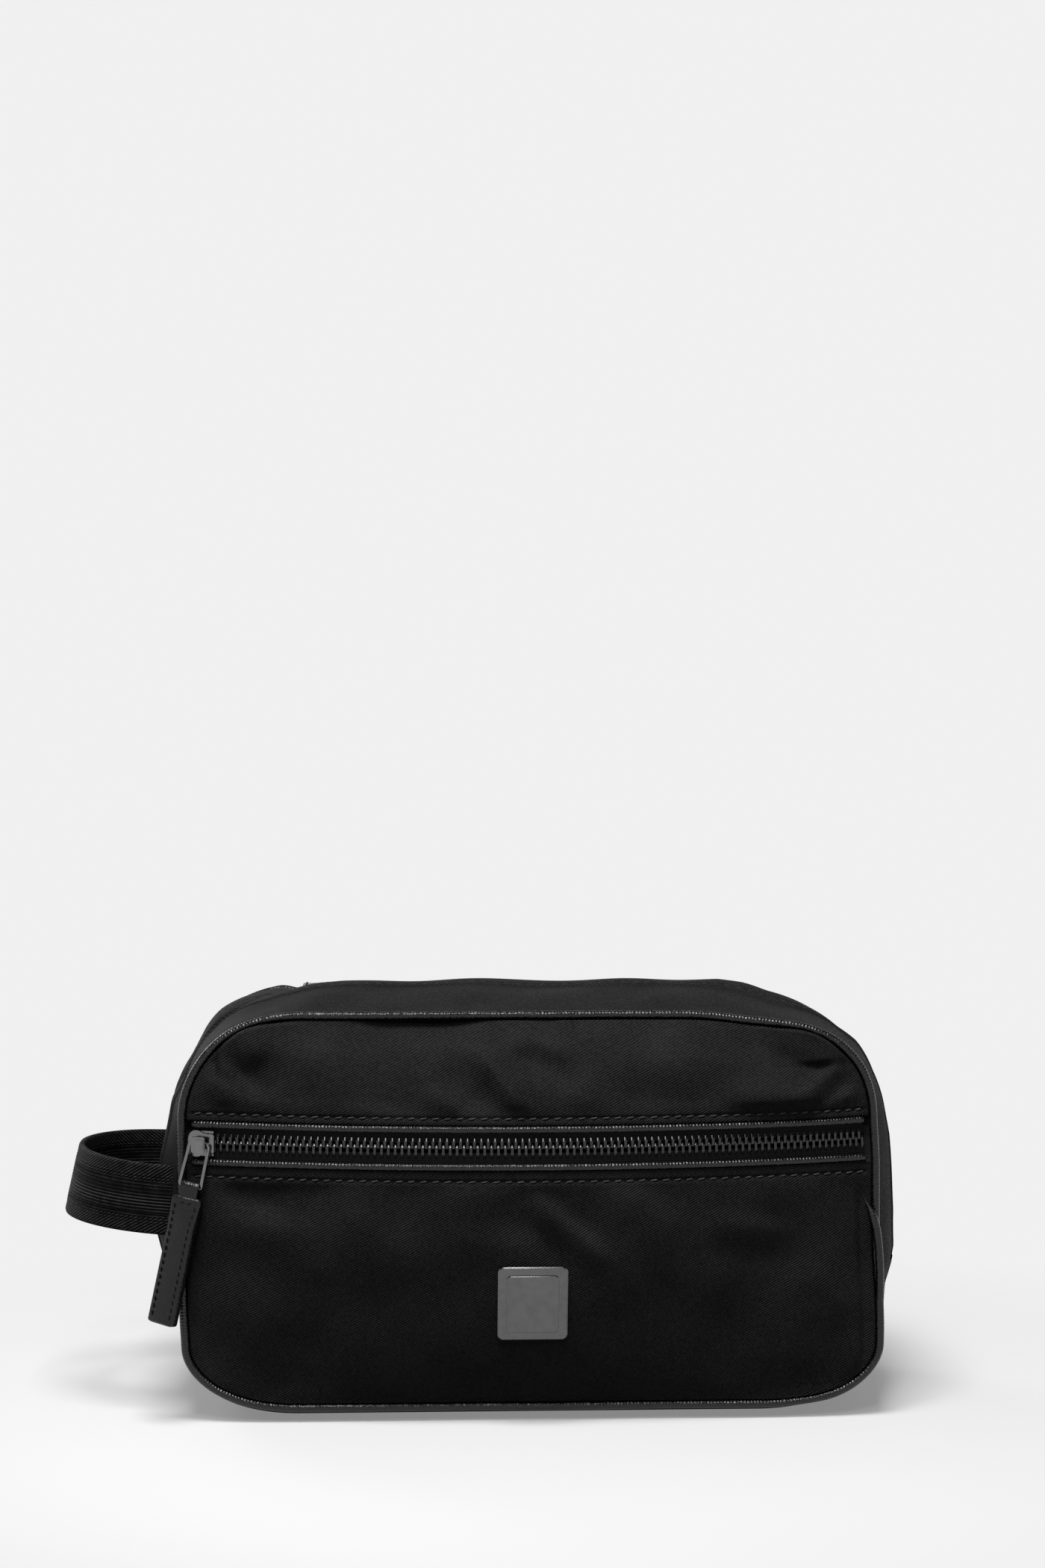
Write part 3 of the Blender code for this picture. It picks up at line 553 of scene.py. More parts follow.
# Share of its bulge that the slack gusset keeps, for the left or right and the front or back, by place:
# below the shoulder in millimetres down, round it in degrees, and past it in millimetres after the 90
KEEPS = {
    (-1, -1): [(-75, 0.15), (-64, 0.5), (-57, 0.8), (-47, 1.0), (-20, 0.85), (-8, 0.6), (3, 0.42), (9, 0.25),
               (15, 0.14), (45, 0.18), (60, 0.38), (72, 0.42), (84, 0.62), (93, 0.9), (102, 1.0)],
    (-1, 1): [(-75, 0.15), (-64, 0.5), (-57, 0.8), (-47, 1.0), (-20, 0.92), (-8, 0.75), (10, 0.48),
              (22, 0.38), (30, 0.46), (39, 0.75), (46, 1.0), (60, 1.2), (90, 1.2), (105, 1.0)],
    (1, -1): [(-79, 0.35), (-75, 0.42), (-67, 0.6), (-59, 0.85), (-53, 1.0), (-40, 1.05), (-12, 0.92),
              (0, 0.76), (6, 0.68), (15, 0.57), (30, 0.52), (42, 0.3), (57, 0.3), (66, 0.38), (78, 0.5),
              (88, 0.8), (98, 1.0)],
    (1, 1): [(-79, 0.35), (-75, 0.42), (-67, 0.6), (-59, 0.85), (-53, 1.0), (-40, 1.05), (-8, 1.0), (0, 0.88),
             (6, 0.72), (21, 0.64), (33, 0.55), (42, 0.4), (50, 0.4), (57, 0.55), (66, 0.72), (78, 0.9),
             (90, 1.0)],
}
FRONT_TO_BACK = (-0.005, 0.012)  # depths over which the front's share gives way to the back's


# Gusset surface between the front and back piping
def slack(run, y):
    """Share of its bulge that the gusset keeps at each place and depth."""
    x, z = np.abs(run[:, 0]), run[:, 1]
    up, across = (z - SHOULDER) / TOP_CORNER_HIGH, (x - TOP_STRAIGHT) / TOP_CORNER_ACROSS
    past = np.where(x < TOP_STRAIGHT, 90 + (TOP_STRAIGHT - x) * 1000, np.degrees(np.arctan2(up, across)))
    place = np.where(z < SHOULDER, (z - SHOULDER) * 1000, past)
    back = ease(y, *FRONT_TO_BACK)
    keep = {}
    for side in (-1, 1):
        front, behind = (np.interp(place, *np.array(KEEPS[side, face]).T)[:, None] for face in (-1, 1))
        keep[side] = front + back * (behind - front)
    return np.where(run[:, 0, None] < 0, keep[-1], keep[1])


def swell(run, y, crown=TOP_BULGE):
    across, up = run[:, 2, None], run[:, 3, None]
    share = np.abs(y)[None, :] / EDGE_Y
    dome = np.clip(1 - share ** 2, 0, None)
    past_flat = np.clip(share - BASE_FLAT, 0, None) / (1 - BASE_FLAT)
    bulge = SIDE_BULGE * across ** 2 + crown * np.clip(up, 0, None) ** 2
    under = BASE_DROP * np.clip(-up, 0, None) ** 2 * np.clip(1 - past_flat ** 2, 0, None)
    return bulge * slack(run, y) * dome + under


def on_gusset(run, y, rise, crown=TOP_BULGE):
    """Points of the gusset: one row for each place of the run, one column for each depth."""
    y = np.asarray(y, float)
    out = swell(run, y, crown) + rise
    x = run[:, 0, None] + run[:, 2, None] * out
    z = run[:, 1, None] + run[:, 3, None] * out
    return joined(x, y, z)


def from_top(run):
    """Length along a run, counted from the place nearest the bag's middle."""
    length = along(run[:, :2])
    return length - length[np.argmin(np.abs(run[:, 0]))]


def gusset_flat(run, y):
    return joined(from_top(run)[:, None], y)


TUCKED = [(EDGE_Y + 0.0006, -0.0012), (EDGE_Y + 0.0002, 0.0002)]  # cloth's edge behind the piping


def hem_profile():
    """Depths and rises of a zip strip: piping edge, outer face, folded hem, inner face."""
    fold, top, low = TRENCH + HEM_WIDTH, FABRIC / 2, -FABRIC / 2
    high = top + HEM_RISE
    rows = TUCKED + [(d, top) for d in np.linspace(EDGE_Y - 0.0008, fold + 0.0012, 16)]
    rows += [(fold + 0.0004, top), (fold, top + 0.4 * HEM_RISE), (fold - 0.0005, high)]
    for back, sunk in ((0.0014, 0), (0.0007, 0.0002), (0, 0.0006), (-0.0007, 0.0002), (-0.0014, 0)):
        rows.append((TRENCH + HEM_SEWN + back, high - sunk))
    for back, rise in ((0.0042, high), (0.0024, high), (0.0012, high), (0.0005, high - 0.0002),
                       (0.0001, high - 0.0007), (0, 0), (0.0002, low + 0.0002), (0.0008, low)):
        rows.append((TRENCH + back, rise))
    outer = len(rows)
    rows += [(d, low) for d in np.linspace(TRENCH + 0.003, EDGE_Y, 8)]
    return np.array(rows), outer


HEM, HEM_OUTER = hem_profile()
STRIP_WAVE, BASE_WAVE = 0.00030, 0.0005  # heights of the cloth's slack waves
HEM_DIP_END = (0.012, 0.040)  # depths over which the back hem's dip ends
CROWNS = {-1: FRONT_BULGE, 1: TOP_BULGE}
HEM_STITCH = (TRENCH + HEM_SEWN, FABRIC / 2 + HEM_RISE - 0.0007)


def free(y):
    """How free the cloth is at each depth, none at the piping."""
    return np.clip(1 - (y / EDGE_Y) ** 4, 0, 1)


def strip_rise(run, y, rise, seed):
    """Slight slackness of a strip between its seams."""
    length = from_top(run)[:, None]
    dip = np.where(y > 0, HEM_SAG * (1 - ease(y, *HEM_DIP_END)), 0.0)
    return rise - dip + free(y) * STRIP_WAVE * ripples(length, y, size=0.040, seed=seed)


def zip_strip(name, run, sign, seed):
    y, rise = sign * HEM[:, 0], HEM[:, 1]
    points = on_gusset(run, y, strip_rise(run, y, rise, seed), CROWNS[sign])
    kinds = np.zeros((len(run) - 1, len(y) - 1), np.int32)
    kinds[:, HEM_OUTER - 1:] = 1
    return grid_object(name, points, [NYLON, LINING_CLOTH], gusset_flat(run, y), kinds.ravel())


def hem_line(run, sign, seed):
    """Line of a strip's stitches with its outward directions."""
    y = np.array([sign * HEM_STITCH[0]])
    points = on_gusset(run, y, strip_rise(run, y, np.array([HEM_STITCH[1]]), seed), CROWNS[sign])[:, 0]
    return points, joined(run[:, 2], 0.0, run[:, 3])


# Stitches: short threads that dip into the cloth at both ends
def stitches(name, points, outs, pitch=STITCH_PITCH, length=STITCH_LENGTH, radius=THREAD_RADIUS,
             stuff=THREAD):
    run = along(points)
    count = int((run[-1] - length) / pitch)
    middles = run[-1] / 2 + (np.arange(count + 1) - count / 2) * pitch
    ts, around = np.linspace(-1, 1, 7), ring_turns(6)
    arch = (radius * (1.1 - 1.9 * ts ** 4))[:, None]
    lean = (STITCH_LEAN * ts)[:, None]
    thick = (radius * np.sqrt(1 - 0.75 * ts ** 4))[:, None, None]
    verts, faces, flat = [], [], []
    for middle in middles:
        spots = middle + ts * length / 2
        line = sampled(spots, run, points)
        out, ahead = unit(sampled(middle, run, outs)), unit(line[-1] - line[0])
        side = np.cross(out, ahead)
        line = line + out * arch + side * lean
        ring = np.cos(around)[:, None] * side + np.sin(around)[:, None] * out
        faces.extend(len(verts) + grid_faces(len(ts), len(around), wrap_columns=True))
        verts.extend((line[:, None, :] + thick * ring).reshape(-1, 3))
        flat.extend((spot, a * radius) for spot in spots for a in around)
    return mesh_object(name, verts, faces, [stuff], np.array(flat))


# Front strip halves and what is sewn to them, settled with the rest of the shell
def lip_piece(made, side, slot, *nodes):
    settle(made)
    if side == "left":
        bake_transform(made)
    else:
        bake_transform(made)
    if nodes:
        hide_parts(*nodes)
    return made


HALVES = {"left": LEFT, "right": RIGHT}
FRONT_SEED, BACK_SEED = 11, 13


def front_strips():
    for side, run in HALVES.items():
        strip = zip_strip(f"front_strip_{side}_cloth", run, -1, FRONT_SEED)
        lip_piece(strip, side, "nylon", f"front_strip_{side}", "mouth_flap")
        # Hem stitches in black thread with a painted sheen in its colour
        line = stitches(f"front_hem_stitches_{side}", *hem_line(run, -1, FRONT_SEED), stuff=HEM_THREAD_PAINTED_SHEEN)
        lip_piece(line, side, "nylon")


def back_strip():
    strip = zip_strip("back_strip_cloth", TOP_RUN, 1, BACK_SEED)
    finish_piece(strip, "bag", "nylon", "back_strip")
    # Hem stitches in black thread with a painted sheen in its colour
    line = stitches("back_hem_stitches", *hem_line(TOP_RUN, 1, BACK_SEED), stuff=HEM_THREAD_PAINTED_SHEEN)
    finish_piece(line, "bag", "nylon")


def base_gusset():
    edge = TUCKED + [(EDGE_Y - 0.0008, FABRIC / 2)]
    inner = [(d, FABRIC / 2) for d in np.linspace(EDGE_Y - 0.002, -EDGE_Y + 0.002, 44)]
    y, rise = np.array(edge + inner + [(-d, r) for d, r in reversed(edge)]).T
    length = along(BASE[:, :2])[:, None]
    upright = ease(np.abs(BASE[:, 2]), 0.2, 0.9)[:, None]
    wave = upright * free(y) * BASE_WAVE * ripples(length, y, size=0.040, seed=14)
    points = on_gusset(BASE, y, rise + wave)
    made = grid_object("base_gusset_cloth", points, [NYLON], gusset_flat(BASE, y))
    finish_piece(made, "bag", "nylon", "base_gusset")


front_strips()
back_strip()
base_gusset()


# Cords: the piping round both panels and the welts beside the pocket zip
INTO_BAG, UPWARD = (0.0, 1.0, 0.0), (0.0, 0.0, 1.0)
PIPING_WANDER = 0.00025
PIPING_END_LIFT = 0.0022
PIPING_END = np.array([
    (120, 79.7), (122.2, 76), (123.9, 72), (124.9, 66),
    (125.2, 59), (125.1, 52), (124.7, 44), (124.5, 38),
]) / 1000


def tube(name, line, firsts, second, radius, stuff, sides=14, closed=False):
    """A round cord along a line; one direction across it changes from point to point, the other stays."""
    around = ring_turns(sides)
    ring = np.cos(around)[:, None] * firsts[:, None, :] + np.sin(around)[:, None] * np.array(second)
    points = line[:, None, :] + np.asarray(radius).reshape(-1, 1, 1) * ring
    flat = joined(along(line)[:, None], around * CORD_RADIUS)
    faces = grid_faces(len(line), sides, closed, True)
    made = mesh_object(name, points.reshape(-1, 3), faces, [stuff], flat.reshape(-1, 2))
    first = made.data.polygons[0]
    if first.normal.dot(first.center - Vector(line[0])) < 0:
        made.data.flip_normals()
    return made


def piping(name, y, node, seed):
    x, z, out_x, out_z = RING[:-1].T
    length = along(joined(x, z))
    loop = length[-1] + RING_STEP
    rng = np.random.default_rng(seed)
    wander = np.zeros(len(x))
    for k in range(3, 14):
        wander += np.cos(2 * math.pi * k * length / loop + rng.uniform(0, 6.28)) / 4
    line = joined(x, y + PIPING_WANDER * wander, z)
    made = tube(name, line, joined(out_x, 0.0, out_z), INTO_BAG, CORD_RADIUS, PIPING_LEATHER, closed=True)
    finish_piece(made, "bag", "leather", node)


def piping_end():
    """Pointed end of the lower panel's cord, lying over the upper one on the right."""
    share = np.linspace(0, 1, 80)
    length = along(PIPING_END)
    x, z = sampled(share, length / length[-1], PIPING_END).T
    for _ in range(30):
        x[1:-1] = (x[:-2] + x[2:]) / 2
        z[1:-1] = (z[:-2] + z[2:]) / 2
    line = joined(x, -DEPTH / 2 - PIPING_END_LIFT * (1 - ease(share, 0.55, 1.0)), z)
    side = np.cross(unit(np.gradient(line, axis=0)), INTO_BAG)
    tip = 0.12 + 0.88 * ease(share, 0.0, 0.22)
    radius = CORD_RADIUS * tip * (1 - 0.5 * ease(share, 0.85, 1.0))
    made = tube("front_piping_end", line, side, INTO_BAG, radius, PIPING_LEATHER)
    finish_piece(made, "bag", "leather")


piping("front_piping_cord", -DEPTH / 2, "front_piping", 21)
piping_end()
piping("back_piping_cord", DEPTH / 2, "back_piping", 22)


# Panels, in rows of height across the outline, whose corners lie inside the piping's
CORNER_ACROSS, CORNER_HIGH = TOP_CORNER_ACROSS - PANEL_INSET, TOP_CORNER_HIGH - PANEL_INSET
LOW_CORNER_ACROSS, LOW_CORNER_HIGH = BASE_CORNER_ACROSS - PANEL_INSET, BASE_CORNER_HIGH - PANEL_INSET


def half_width(height):
    above = np.clip((height - SHOULDER) / CORNER_HIGH, 0, 1)
    below = np.clip((BASE_TURN - height) / LOW_CORNER_HIGH, 0, 1)
    top, base = (1 - np.sqrt(1 - share ** 2) for share in (above, below))
    return PANEL_HALF - CORNER_ACROSS * top - LOW_CORNER_ACROSS * base


def front_mid(x, height):
    above = np.clip(height - UPPER_BASE, 0, None) / (PANEL_HIGH - UPPER_BASE)
    below = np.clip(LOWER_TOP - height, 0, None) / (LOWER_TOP - PANEL_LOW)
    share = np.where(height > ZIP_HEIGHT, 1 - above ** 2, 1 - below ** 2.6)
    stretch = x * PANEL_HALF / half_width(height)
    arc = np.sqrt(np.clip(FRONT_RADIUS ** 2 - stretch ** 2, 0, None)) - ARC_END
    return -DEPTH / 2 - share * arc


def back_mid(x, height):
    middle, half = (PANEL_HIGH + PANEL_LOW) / 2, (PANEL_HIGH - PANEL_LOW) / 2
    upright = 1 - np.abs((height - middle) / half) ** 2.4
    return DEPTH / 2 + BACK_BULGE * upright * (1 - (x / half_width(height)) ** 2)


def ridge(x, z, fold):
    """A soft fold along a line from start to end, steeper on the flank that faces up."""
    start_x, start_z, end_x, end_z, width, height = (value / 1000 for value in fold)
    run_x, run_z = end_x - start_x, end_z - start_z
    length = math.hypot(run_x, run_z)
    share = ((x - start_x) * run_x + (z - start_z) * run_z) / length ** 2
    off = ((x - start_x) * run_z - (z - start_z) * run_x) / length
    fade = ease(share, -0.25, 0.3) * (1 - ease(share, 0.7, 1.25))
    below = off * (1 if run_x > 0 else -1) > 0
    reach = width * np.where(below == (height < 0), 0.8, 1.7)
    return height * np.exp(-(off / reach) ** 2) * fade


def sewn(x, z, stitch, side):
    """The dent that a row of stitches pulls into padded cloth, with small waves on one side of it."""
    away = np.clip((z - stitch) * side, 0, None)
    waves = np.cos(2 * math.pi * x / STITCH_PITCH) * (away / 0.001) * np.exp(-away / 0.0014)
    return SEAM_PUCKER * waves - SEAM_DENT * np.exp(-((z - stitch) / 0.0007) ** 2)


UPPER_STITCH = UPPER_BASE + STITCH_IN - 0.0014
LOWER_STITCH = LOWER_TOP - STITCH_IN
SEAM_DENT, SEAM_PUCKER = 0.0006, 0.00034

# Folds, in millimetres: start across and up, end across and up, width and height
UPPER_FOLDS = [
    (-20, 137, -3, 115, 3.4, 3.6),
    (-31, 128, -17, 115, 6, -2.6),
    (-8, 141, 14, 133, 3.2, 3),
    (-5, 133, 14, 123.5, 4.6, -3.2),
    (-35, 122, -25, 114, 3.2, 1.4),
    (13, 142, 40, 135, 5, 1.6),
    (30, 134, 85, 127, 8, 2.6),
    (25, 122, 70, 116, 7, -1.6),
    (75, 138, 98, 131, 5, -1.4),
    (-98, 133, -50, 129, 8, 2.6),
    (-85, 120, -45, 118, 7, -1.6),
    (-60, 139, -30, 137, 5, -1.4),
    (-111, 135, -112, 128, 1.4, -3.6),
    (-108, 131, -94, 119, 3.4, -2.2),
    (-118, 126, -106, 118, 3.4, 2),
    (111, 130.5, 118, 127.5, 1.5, -3.6),
    (114, 129.5, 95, 118, 3, 2.4),
    (70, 119, 116, 116.5, 8, 3),
    (118, 124, 103, 115, 3.6, -2.2),
]
LOWER_FOLDS = [
    (1, 82, 25, 61.5, 4, 3),
    (-8, 79, 13, 60, 7, -2),
    (64, 73.5, 92, 68.5, 5, 2.2),
    (62, 65, 92, 60, 8, -1.6),
    (28, 85, 56, 70, 8, 1.6),
    (-28, 68, 2, 64, 7, 1.4),
    (-72, 78, -43, 60, 11, 1.8),
    (-110, 84, -88, 80, 5.6, -2.2),
    (-109, 72, -80, 70, 6, 1.8),
    (98, 56, 113, 38, 7, 1.6),
    (-110, 52, -90, 38, 9, 1.2),
]

# Places where the upper panel stands out over its piping: middle, reach and height
PUFFS = [(-0.1000, 0.0120, 0.0042), (0.0990, 0.0140, 0.0038)]
PUFF_LEFT_END = (-0.1125, -0.1095)  # places across over which the left one ends
PUFF_RIGHT = 0.09  # place across past which the right one lies
PUFF_RIGHT_END = (0.1275, 0.1305)  # heights over which it ends
PUFF_LOW_END = (0.118, 0.128)  # heights over which both end
TOP_EDGE = [(-0.0370, 0.0210, -0.0030), (0.0450, 0.0400, 0.0012)]  # humps of the upper panel's top edge
CORD_ROOM, CORD_ROOM_FROM, CORD_ROOM_END = 0.0022, (0.1165, 0.1195), (0.080, 0.088)  # beside the cord's end
PANEL_WAVE = 0.00050


def edge_of(x, z):
    """Distance in from the outline's top and sides, with the outward direction there."""
    aside = np.clip((np.abs(x) - PANEL_HALF + CORNER_ACROSS) / CORNER_ACROSS, 0, None)
    above = np.clip((z - PANEL_HIGH + CORNER_HIGH) / CORNER_HIGH, 0, None)
    share = np.hypot(aside, above)
    out_x, out_z = aside / CORNER_ACROSS, above / CORNER_HIGH
    size = np.hypot(out_x, out_z) + 1e-9
    distance = np.where(share > 0.05, (1 - share) * share / size, 0.03)
    return distance, np.sign(x) * out_x / size, out_z / size


def humps(x, table):
    """Sum of soft humps, each with a middle, a reach and a height."""
    return sum(height * np.exp(-((x - middle) / reach) ** 2) for middle, reach, height in table)


def puff(x, z):
    """How far the upper panel stands out near its outline."""
    right = np.where(x > PUFF_RIGHT, ease(z, *PUFF_RIGHT_END), 1.0)
    return humps(x, PUFFS) * ease(x, *PUFF_LEFT_END) * right * ease(z, *PUFF_LOW_END)


def upper_relief(x, z):
    total = sum(ridge(x, z, fold) for fold in UPPER_FOLDS)
    near_top = ease(z, PANEL_HIGH - 0.010, PANEL_HIGH - 0.001)
    return total + PANEL_WAVE * ripples(x, z, size=0.034, seed=31) + near_top * humps(x, TOP_EDGE)


def lower_relief(x, z):
    total = sum(ridge(x, z, fold) for fold in LOWER_FOLDS)
    room = CORD_ROOM * ease(x, *CORD_ROOM_FROM) * (1 - ease(z, *CORD_ROOM_END))
    return total + PANEL_WAVE * ripples(x, z, size=0.044, seed=32) - room


def panel_relief(x, z, relief, stitch, side):
    """Outward relief of a front panel, none at its sewn edges."""
    inward = np.minimum(half_width(z) - np.abs(x), np.minimum(z - PANEL_LOW, PANEL_HIGH + 0.006 - z))
    held = ease(inward, 0.0, 0.008) * ease((z - stitch) * side, -0.001, 0.006)
    return held * relief(x, z) + ease(inward, 0.0, 0.003) * sewn(x, z, stitch, side)


# Edges of the front panels: moves up and in of the rolled rows, and where the tucked rows lie
ROLLED_IN = ((-0.0003, 0.0003), (-0.0004, 0.0009), (-0.0002, 0.0014), (0.003, 0.0016))
TUCKED_Y = -DEPTH / 2 + 0.0016
TUCK_OUT = 0.0002
DENSE_ROWS = 0.0075  # height of the closely set rows beside the zip
FRONT_COLUMNS = np.concatenate([
    np.linspace(-1, -0.9, 20)[:-1], np.linspace(-0.9, 0.9, 181), np.linspace(0.9, 1, 20)[1:],
])


def front_face(x, z, relief, stitch, side):
    return front_mid(x, z) - FABRIC / 2 - panel_relief(x, z, relief, stitch, side)


def panel_grid(heights, columns):
    """Places across and up, for each height and each share of the width there."""
    return np.broadcast_arrays(half_width(heights)[:, None] * columns, heights[:, None])


def front_panel(name, heights, edge_first, relief, stitch, node):
    """A front panel; its zip edge is rolled in and its other edges tuck behind the piping."""
    side = 1 if edge_first else -1
    x, z = panel_grid(heights, FRONT_COLUMNS)
    points = joined(x, front_face(x, z, relief, stitch, side), z)
    if edge_first:
        inward, out_x, out_z = edge_of(x, z)
        stand = puff(x, z) * ease(inward, -0.0002, 0.0020) * (1 - ease(inward, 0.005, 0.015))
        over = 0.55 * puff(x, z) * ease(inward, 0.0, 0.0012) * (1 - ease(inward, 0.002, 0.008))
        points += joined(out_x * over, -stand, out_z * over)
    rolled = [points[0 if edge_first else -1] + (0, deep, side * up) for up, deep in ROLLED_IN]
    tucked = points[-1 if edge_first else 0] + (0, 0, side * TUCK_OUT)
    tucked[:, 1] = TUCKED_Y
    points = np.concatenate([rolled[::-1], points, [tucked]] if edge_first else [[tucked], points, rolled])
    ends = []
    for column, sign in ((0, -1), (-1, 1)):
        end = points[:, column] + (sign * TUCK_OUT, 0, 0)
        end[:, 1] = np.maximum(end[:, 1], TUCKED_Y)
        ends.append(end[:, None])
    points = np.concatenate([ends[0], points, ends[1]], axis=1)
    made = grid_object(name, points, [NYLON], points[:, :, [0, 2]], outward=lambda p: (0, -1, 0))
    finish_piece(made, "bag", "nylon", node)


def panel_stitches(name, height, relief, side):
    half = half_width(np.array([height]))[0] - 0.0015
    x = np.linspace(-half, half, 400)
    points = joined(x, front_face(x, height, relief, height, side), height)
    outs = joined(x / FRONT_RADIUS, -1.0, 0.0)
    # The pocket's stitches take the black thread with a painted sheen in its colour
    finish_piece(stitches(name, points, outs, stuff=PALE_THREAD_PAINTED_SHEEN), "bag", "nylon")


def corner_rows(low, high, steps, at_top):
    """Heights bunched towards the end where a corner turns in."""
    turn = np.linspace(0, math.pi / 2, steps + 1)
    share = np.sin(turn) if at_top else 1 - np.cos(turn)
    return low + (high - low) * share


def front_panels():
    dense = LOWER_TOP - DENSE_ROWS
    lower = np.concatenate([
        corner_rows(PANEL_LOW, BASE_TURN, 24, False),
        np.linspace(BASE_TURN, dense, 44)[1:],
        np.linspace(dense, LOWER_TOP, 24)[1:],
    ])
    front_panel("front_panel_lower_cloth", lower, False, lower_relief, LOWER_STITCH, "front_panel_lower")
    dense = UPPER_BASE + DENSE_ROWS
    upper = np.concatenate([np.linspace(UPPER_BASE, dense, 24), corner_rows(dense, PANEL_HIGH, 48, True)[1:]])
    front_panel("front_panel_upper_cloth", upper, True, upper_relief, UPPER_STITCH, "front_panel_upper")
    panel_stitches("pocket_stitches_lower", LOWER_STITCH, lower_relief, -1)
    panel_stitches("pocket_stitches_upper", UPPER_STITCH, upper_relief, 1)


def back_panel():
    heights = np.concatenate([
        corner_rows(PANEL_LOW, BASE_TURN, 20, False),
        np.linspace(BASE_TURN, SHOULDER, 24)[1:],
        corner_rows(SHOULDER, PANEL_HIGH, 26, True)[1:],
    ])
    x, z = panel_grid(heights, np.linspace(-1, 1, 121))
    inward = np.minimum(half_width(z) - np.abs(x), np.minimum(z - PANEL_LOW, PANEL_HIGH - z))
    wave = ease(inward, 0.0, 0.016) * PANEL_WAVE * ripples(x, z, size=0.050, seed=33)
    points = joined(x, back_mid(x, z) + FABRIC / 2 + wave, z)
    made = grid_object("back_panel_cloth", points, [NYLON], points[:, :, [0, 2]], outward=lambda p: (0, 1, 0))
    finish_piece(made, "bag", "nylon", "back_panel")


front_panels()
back_panel()


# Pocket zip, on an upright cylinder
CHAIN_END = math.asin((half_width(np.array([UPPER_BASE]))[0] - 6 * GAP) / FRONT_RADIUS)


def on_arc(turn, radius, height):
    return joined(radius * np.sin(turn), ARC_Y - radius * np.cos(turn), height)


def arc_out(turn):
    return joined(np.sin(turn), -np.cos(turn), 0.0)


def pocket_welt(label, sign):
    turns = np.linspace(-CHAIN_END, CHAIN_END, 320)
    line = on_arc(turns, WELT_ARC, ZIP_HEIGHT + sign * WELT_HEIGHT)
    length = along(line)
    from_end = np.clip(np.minimum(length, length[-1] - length) / WELT_RADIUS, 0, 1)
    radius = WELT_RADIUS * np.sqrt(np.clip(1 - (1 - from_end) ** 2, 0.01, 1))
    outs = arc_out(turns)
    made = tube(f"pocket_welt_{label}_cord", line, outs, UPWARD, radius, PIPING_LEATHER, sides=12)
    finish_piece(made, "bag", "leather", f"pocket_welt_{label}")


def pocket_tape(label, sign):
    turns = np.linspace(-CHAIN_END, CHAIN_END, 120)
    lanes = np.linspace(TAPE_EDGE, RIM - GAP, 10)
    points = on_arc(turns[:, None], CHAIN_RADIUS + TAPE / 2, ZIP_HEIGHT + sign * lanes)
    flat = joined((turns * CHAIN_RADIUS)[:, None], lanes)
    made = grid_object(f"pocket_tape_{label}_weave", points, [TAPE_CLOTH], flat, outward=lambda p: (0, -1, 0))
    finish_piece(made, "bag", "zip_tape", f"pocket_tape_{label}")


# Zip teeth, ring by ring: depth across the chain, half width along it and half thickness
TOOTH_RINGS = np.array([
    (-0.96, 0.36, 0.36),
    (-0.2, 0.56, 0.96),
    (0.45, 0.56, 1.04),
    (0.95, 0.46, 0.98),
    (1.4, 0.56, 1.08),
    (2.36, 0.6, 1.12),
    (3.4, 0.56, 0.6),
]) / 1000
TOOTH_SECTION = np.array([
    (1, 0.6), (0.85, 0.92), (0.4, 1), (-0.4, 1), (-0.85, 0.92),
    (-1, 0.6), (-1, -0.6), (-0.85, -0.92), (0.85, -0.92), (1, -0.6),
])


def end_caps(count, sides):
    """Faces that close the first and the last ring of a row of rings."""
    return [list(range(sides)), list(range(count - 1, count - 1 - sides, -1))]


def teeth(name, spots, ahead, across, out):
    """A row of teeth, one at each spot, in that spot's own directions."""
    rings = [(a * wide, deep, b * thick) for deep, wide, thick in TOOTH_RINGS for a, b in TOOTH_SECTION]
    shape, sides = np.array(rings), len(TOOTH_SECTION)
    points = spots[:, None, :] + shape @ np.stack(np.broadcast_arrays(ahead, across, out), axis=1)
    closed = grid_faces(len(TOOTH_RINGS), sides, wrap_columns=True).tolist() + end_caps(len(shape), sides)
    faces = [[k * len(shape) + c for c in face] for k in range(len(spots)) for face in closed]
    # The teeth take the gunmetal darkened with painted shade
    made = mesh_object(name, points.reshape(-1, 3), faces, [TEETH])
    shaped = bmesh.new()
    shaped.from_mesh(made.data)
    bmesh.ops.recalc_face_normals(shaped, faces=shaped.faces)
    shaped.to_mesh(made.data)
    shaped.free()
    made.data.set_sharp_from_angle(angle=math.radians(25))
    return made


def pocket_teeth(label, sign, offset):
    step = PITCH / CHAIN_RADIUS
    count = int(2 * CHAIN_END / step)
    turns = (np.arange(count + 1) - count / 2 + offset) * step
    turns = turns[np.abs(turns) <= CHAIN_END]
    ahead = joined(np.cos(turns), np.sin(turns), 0.0)
    across = sign * np.array(UPWARD)
    spots = on_arc(turns, CHAIN_RADIUS, ZIP_HEIGHT)
    made = teeth(f"pocket_teeth_{label}", spots, ahead, across, arc_out(turns))
    finish_piece(made, "bag", "gunmetal", f"pocket_row_{label}")


for label, sign, offset in (("lower", -1, 0.0), ("upper", 1, 0.5)):
    pocket_welt(label, sign)
    pocket_tape(label, sign)
    pocket_teeth(label, sign, offset)


# Top zip
def chain_line(run):
    return on_gusset(run, [0.0], -SUNK_DEPTH)[:, 0]


def mouth_tape(name, run, sign):
    """A tape that runs from the chain up to where it is sewn under its strip."""
    lanes = np.linspace(TAPE_EDGE, TAPE_REACH, 14)
    low = on_gusset(run, sign * lanes, TAPE / 2 - SUNK_DEPTH)
    high = on_gusset(run, sign * lanes, TAPE / 2 - TAPE_DEPTH - (HEM_SAG if sign > 0 else 0), CROWNS[sign])
    share = ease(lanes, TRENCH, TAPE_REACH - TAPE_SEWN)[None, :, None]
    return grid_object(name, low + share * (high - low), [TAPE_CLOTH], gusset_flat(run, lanes))


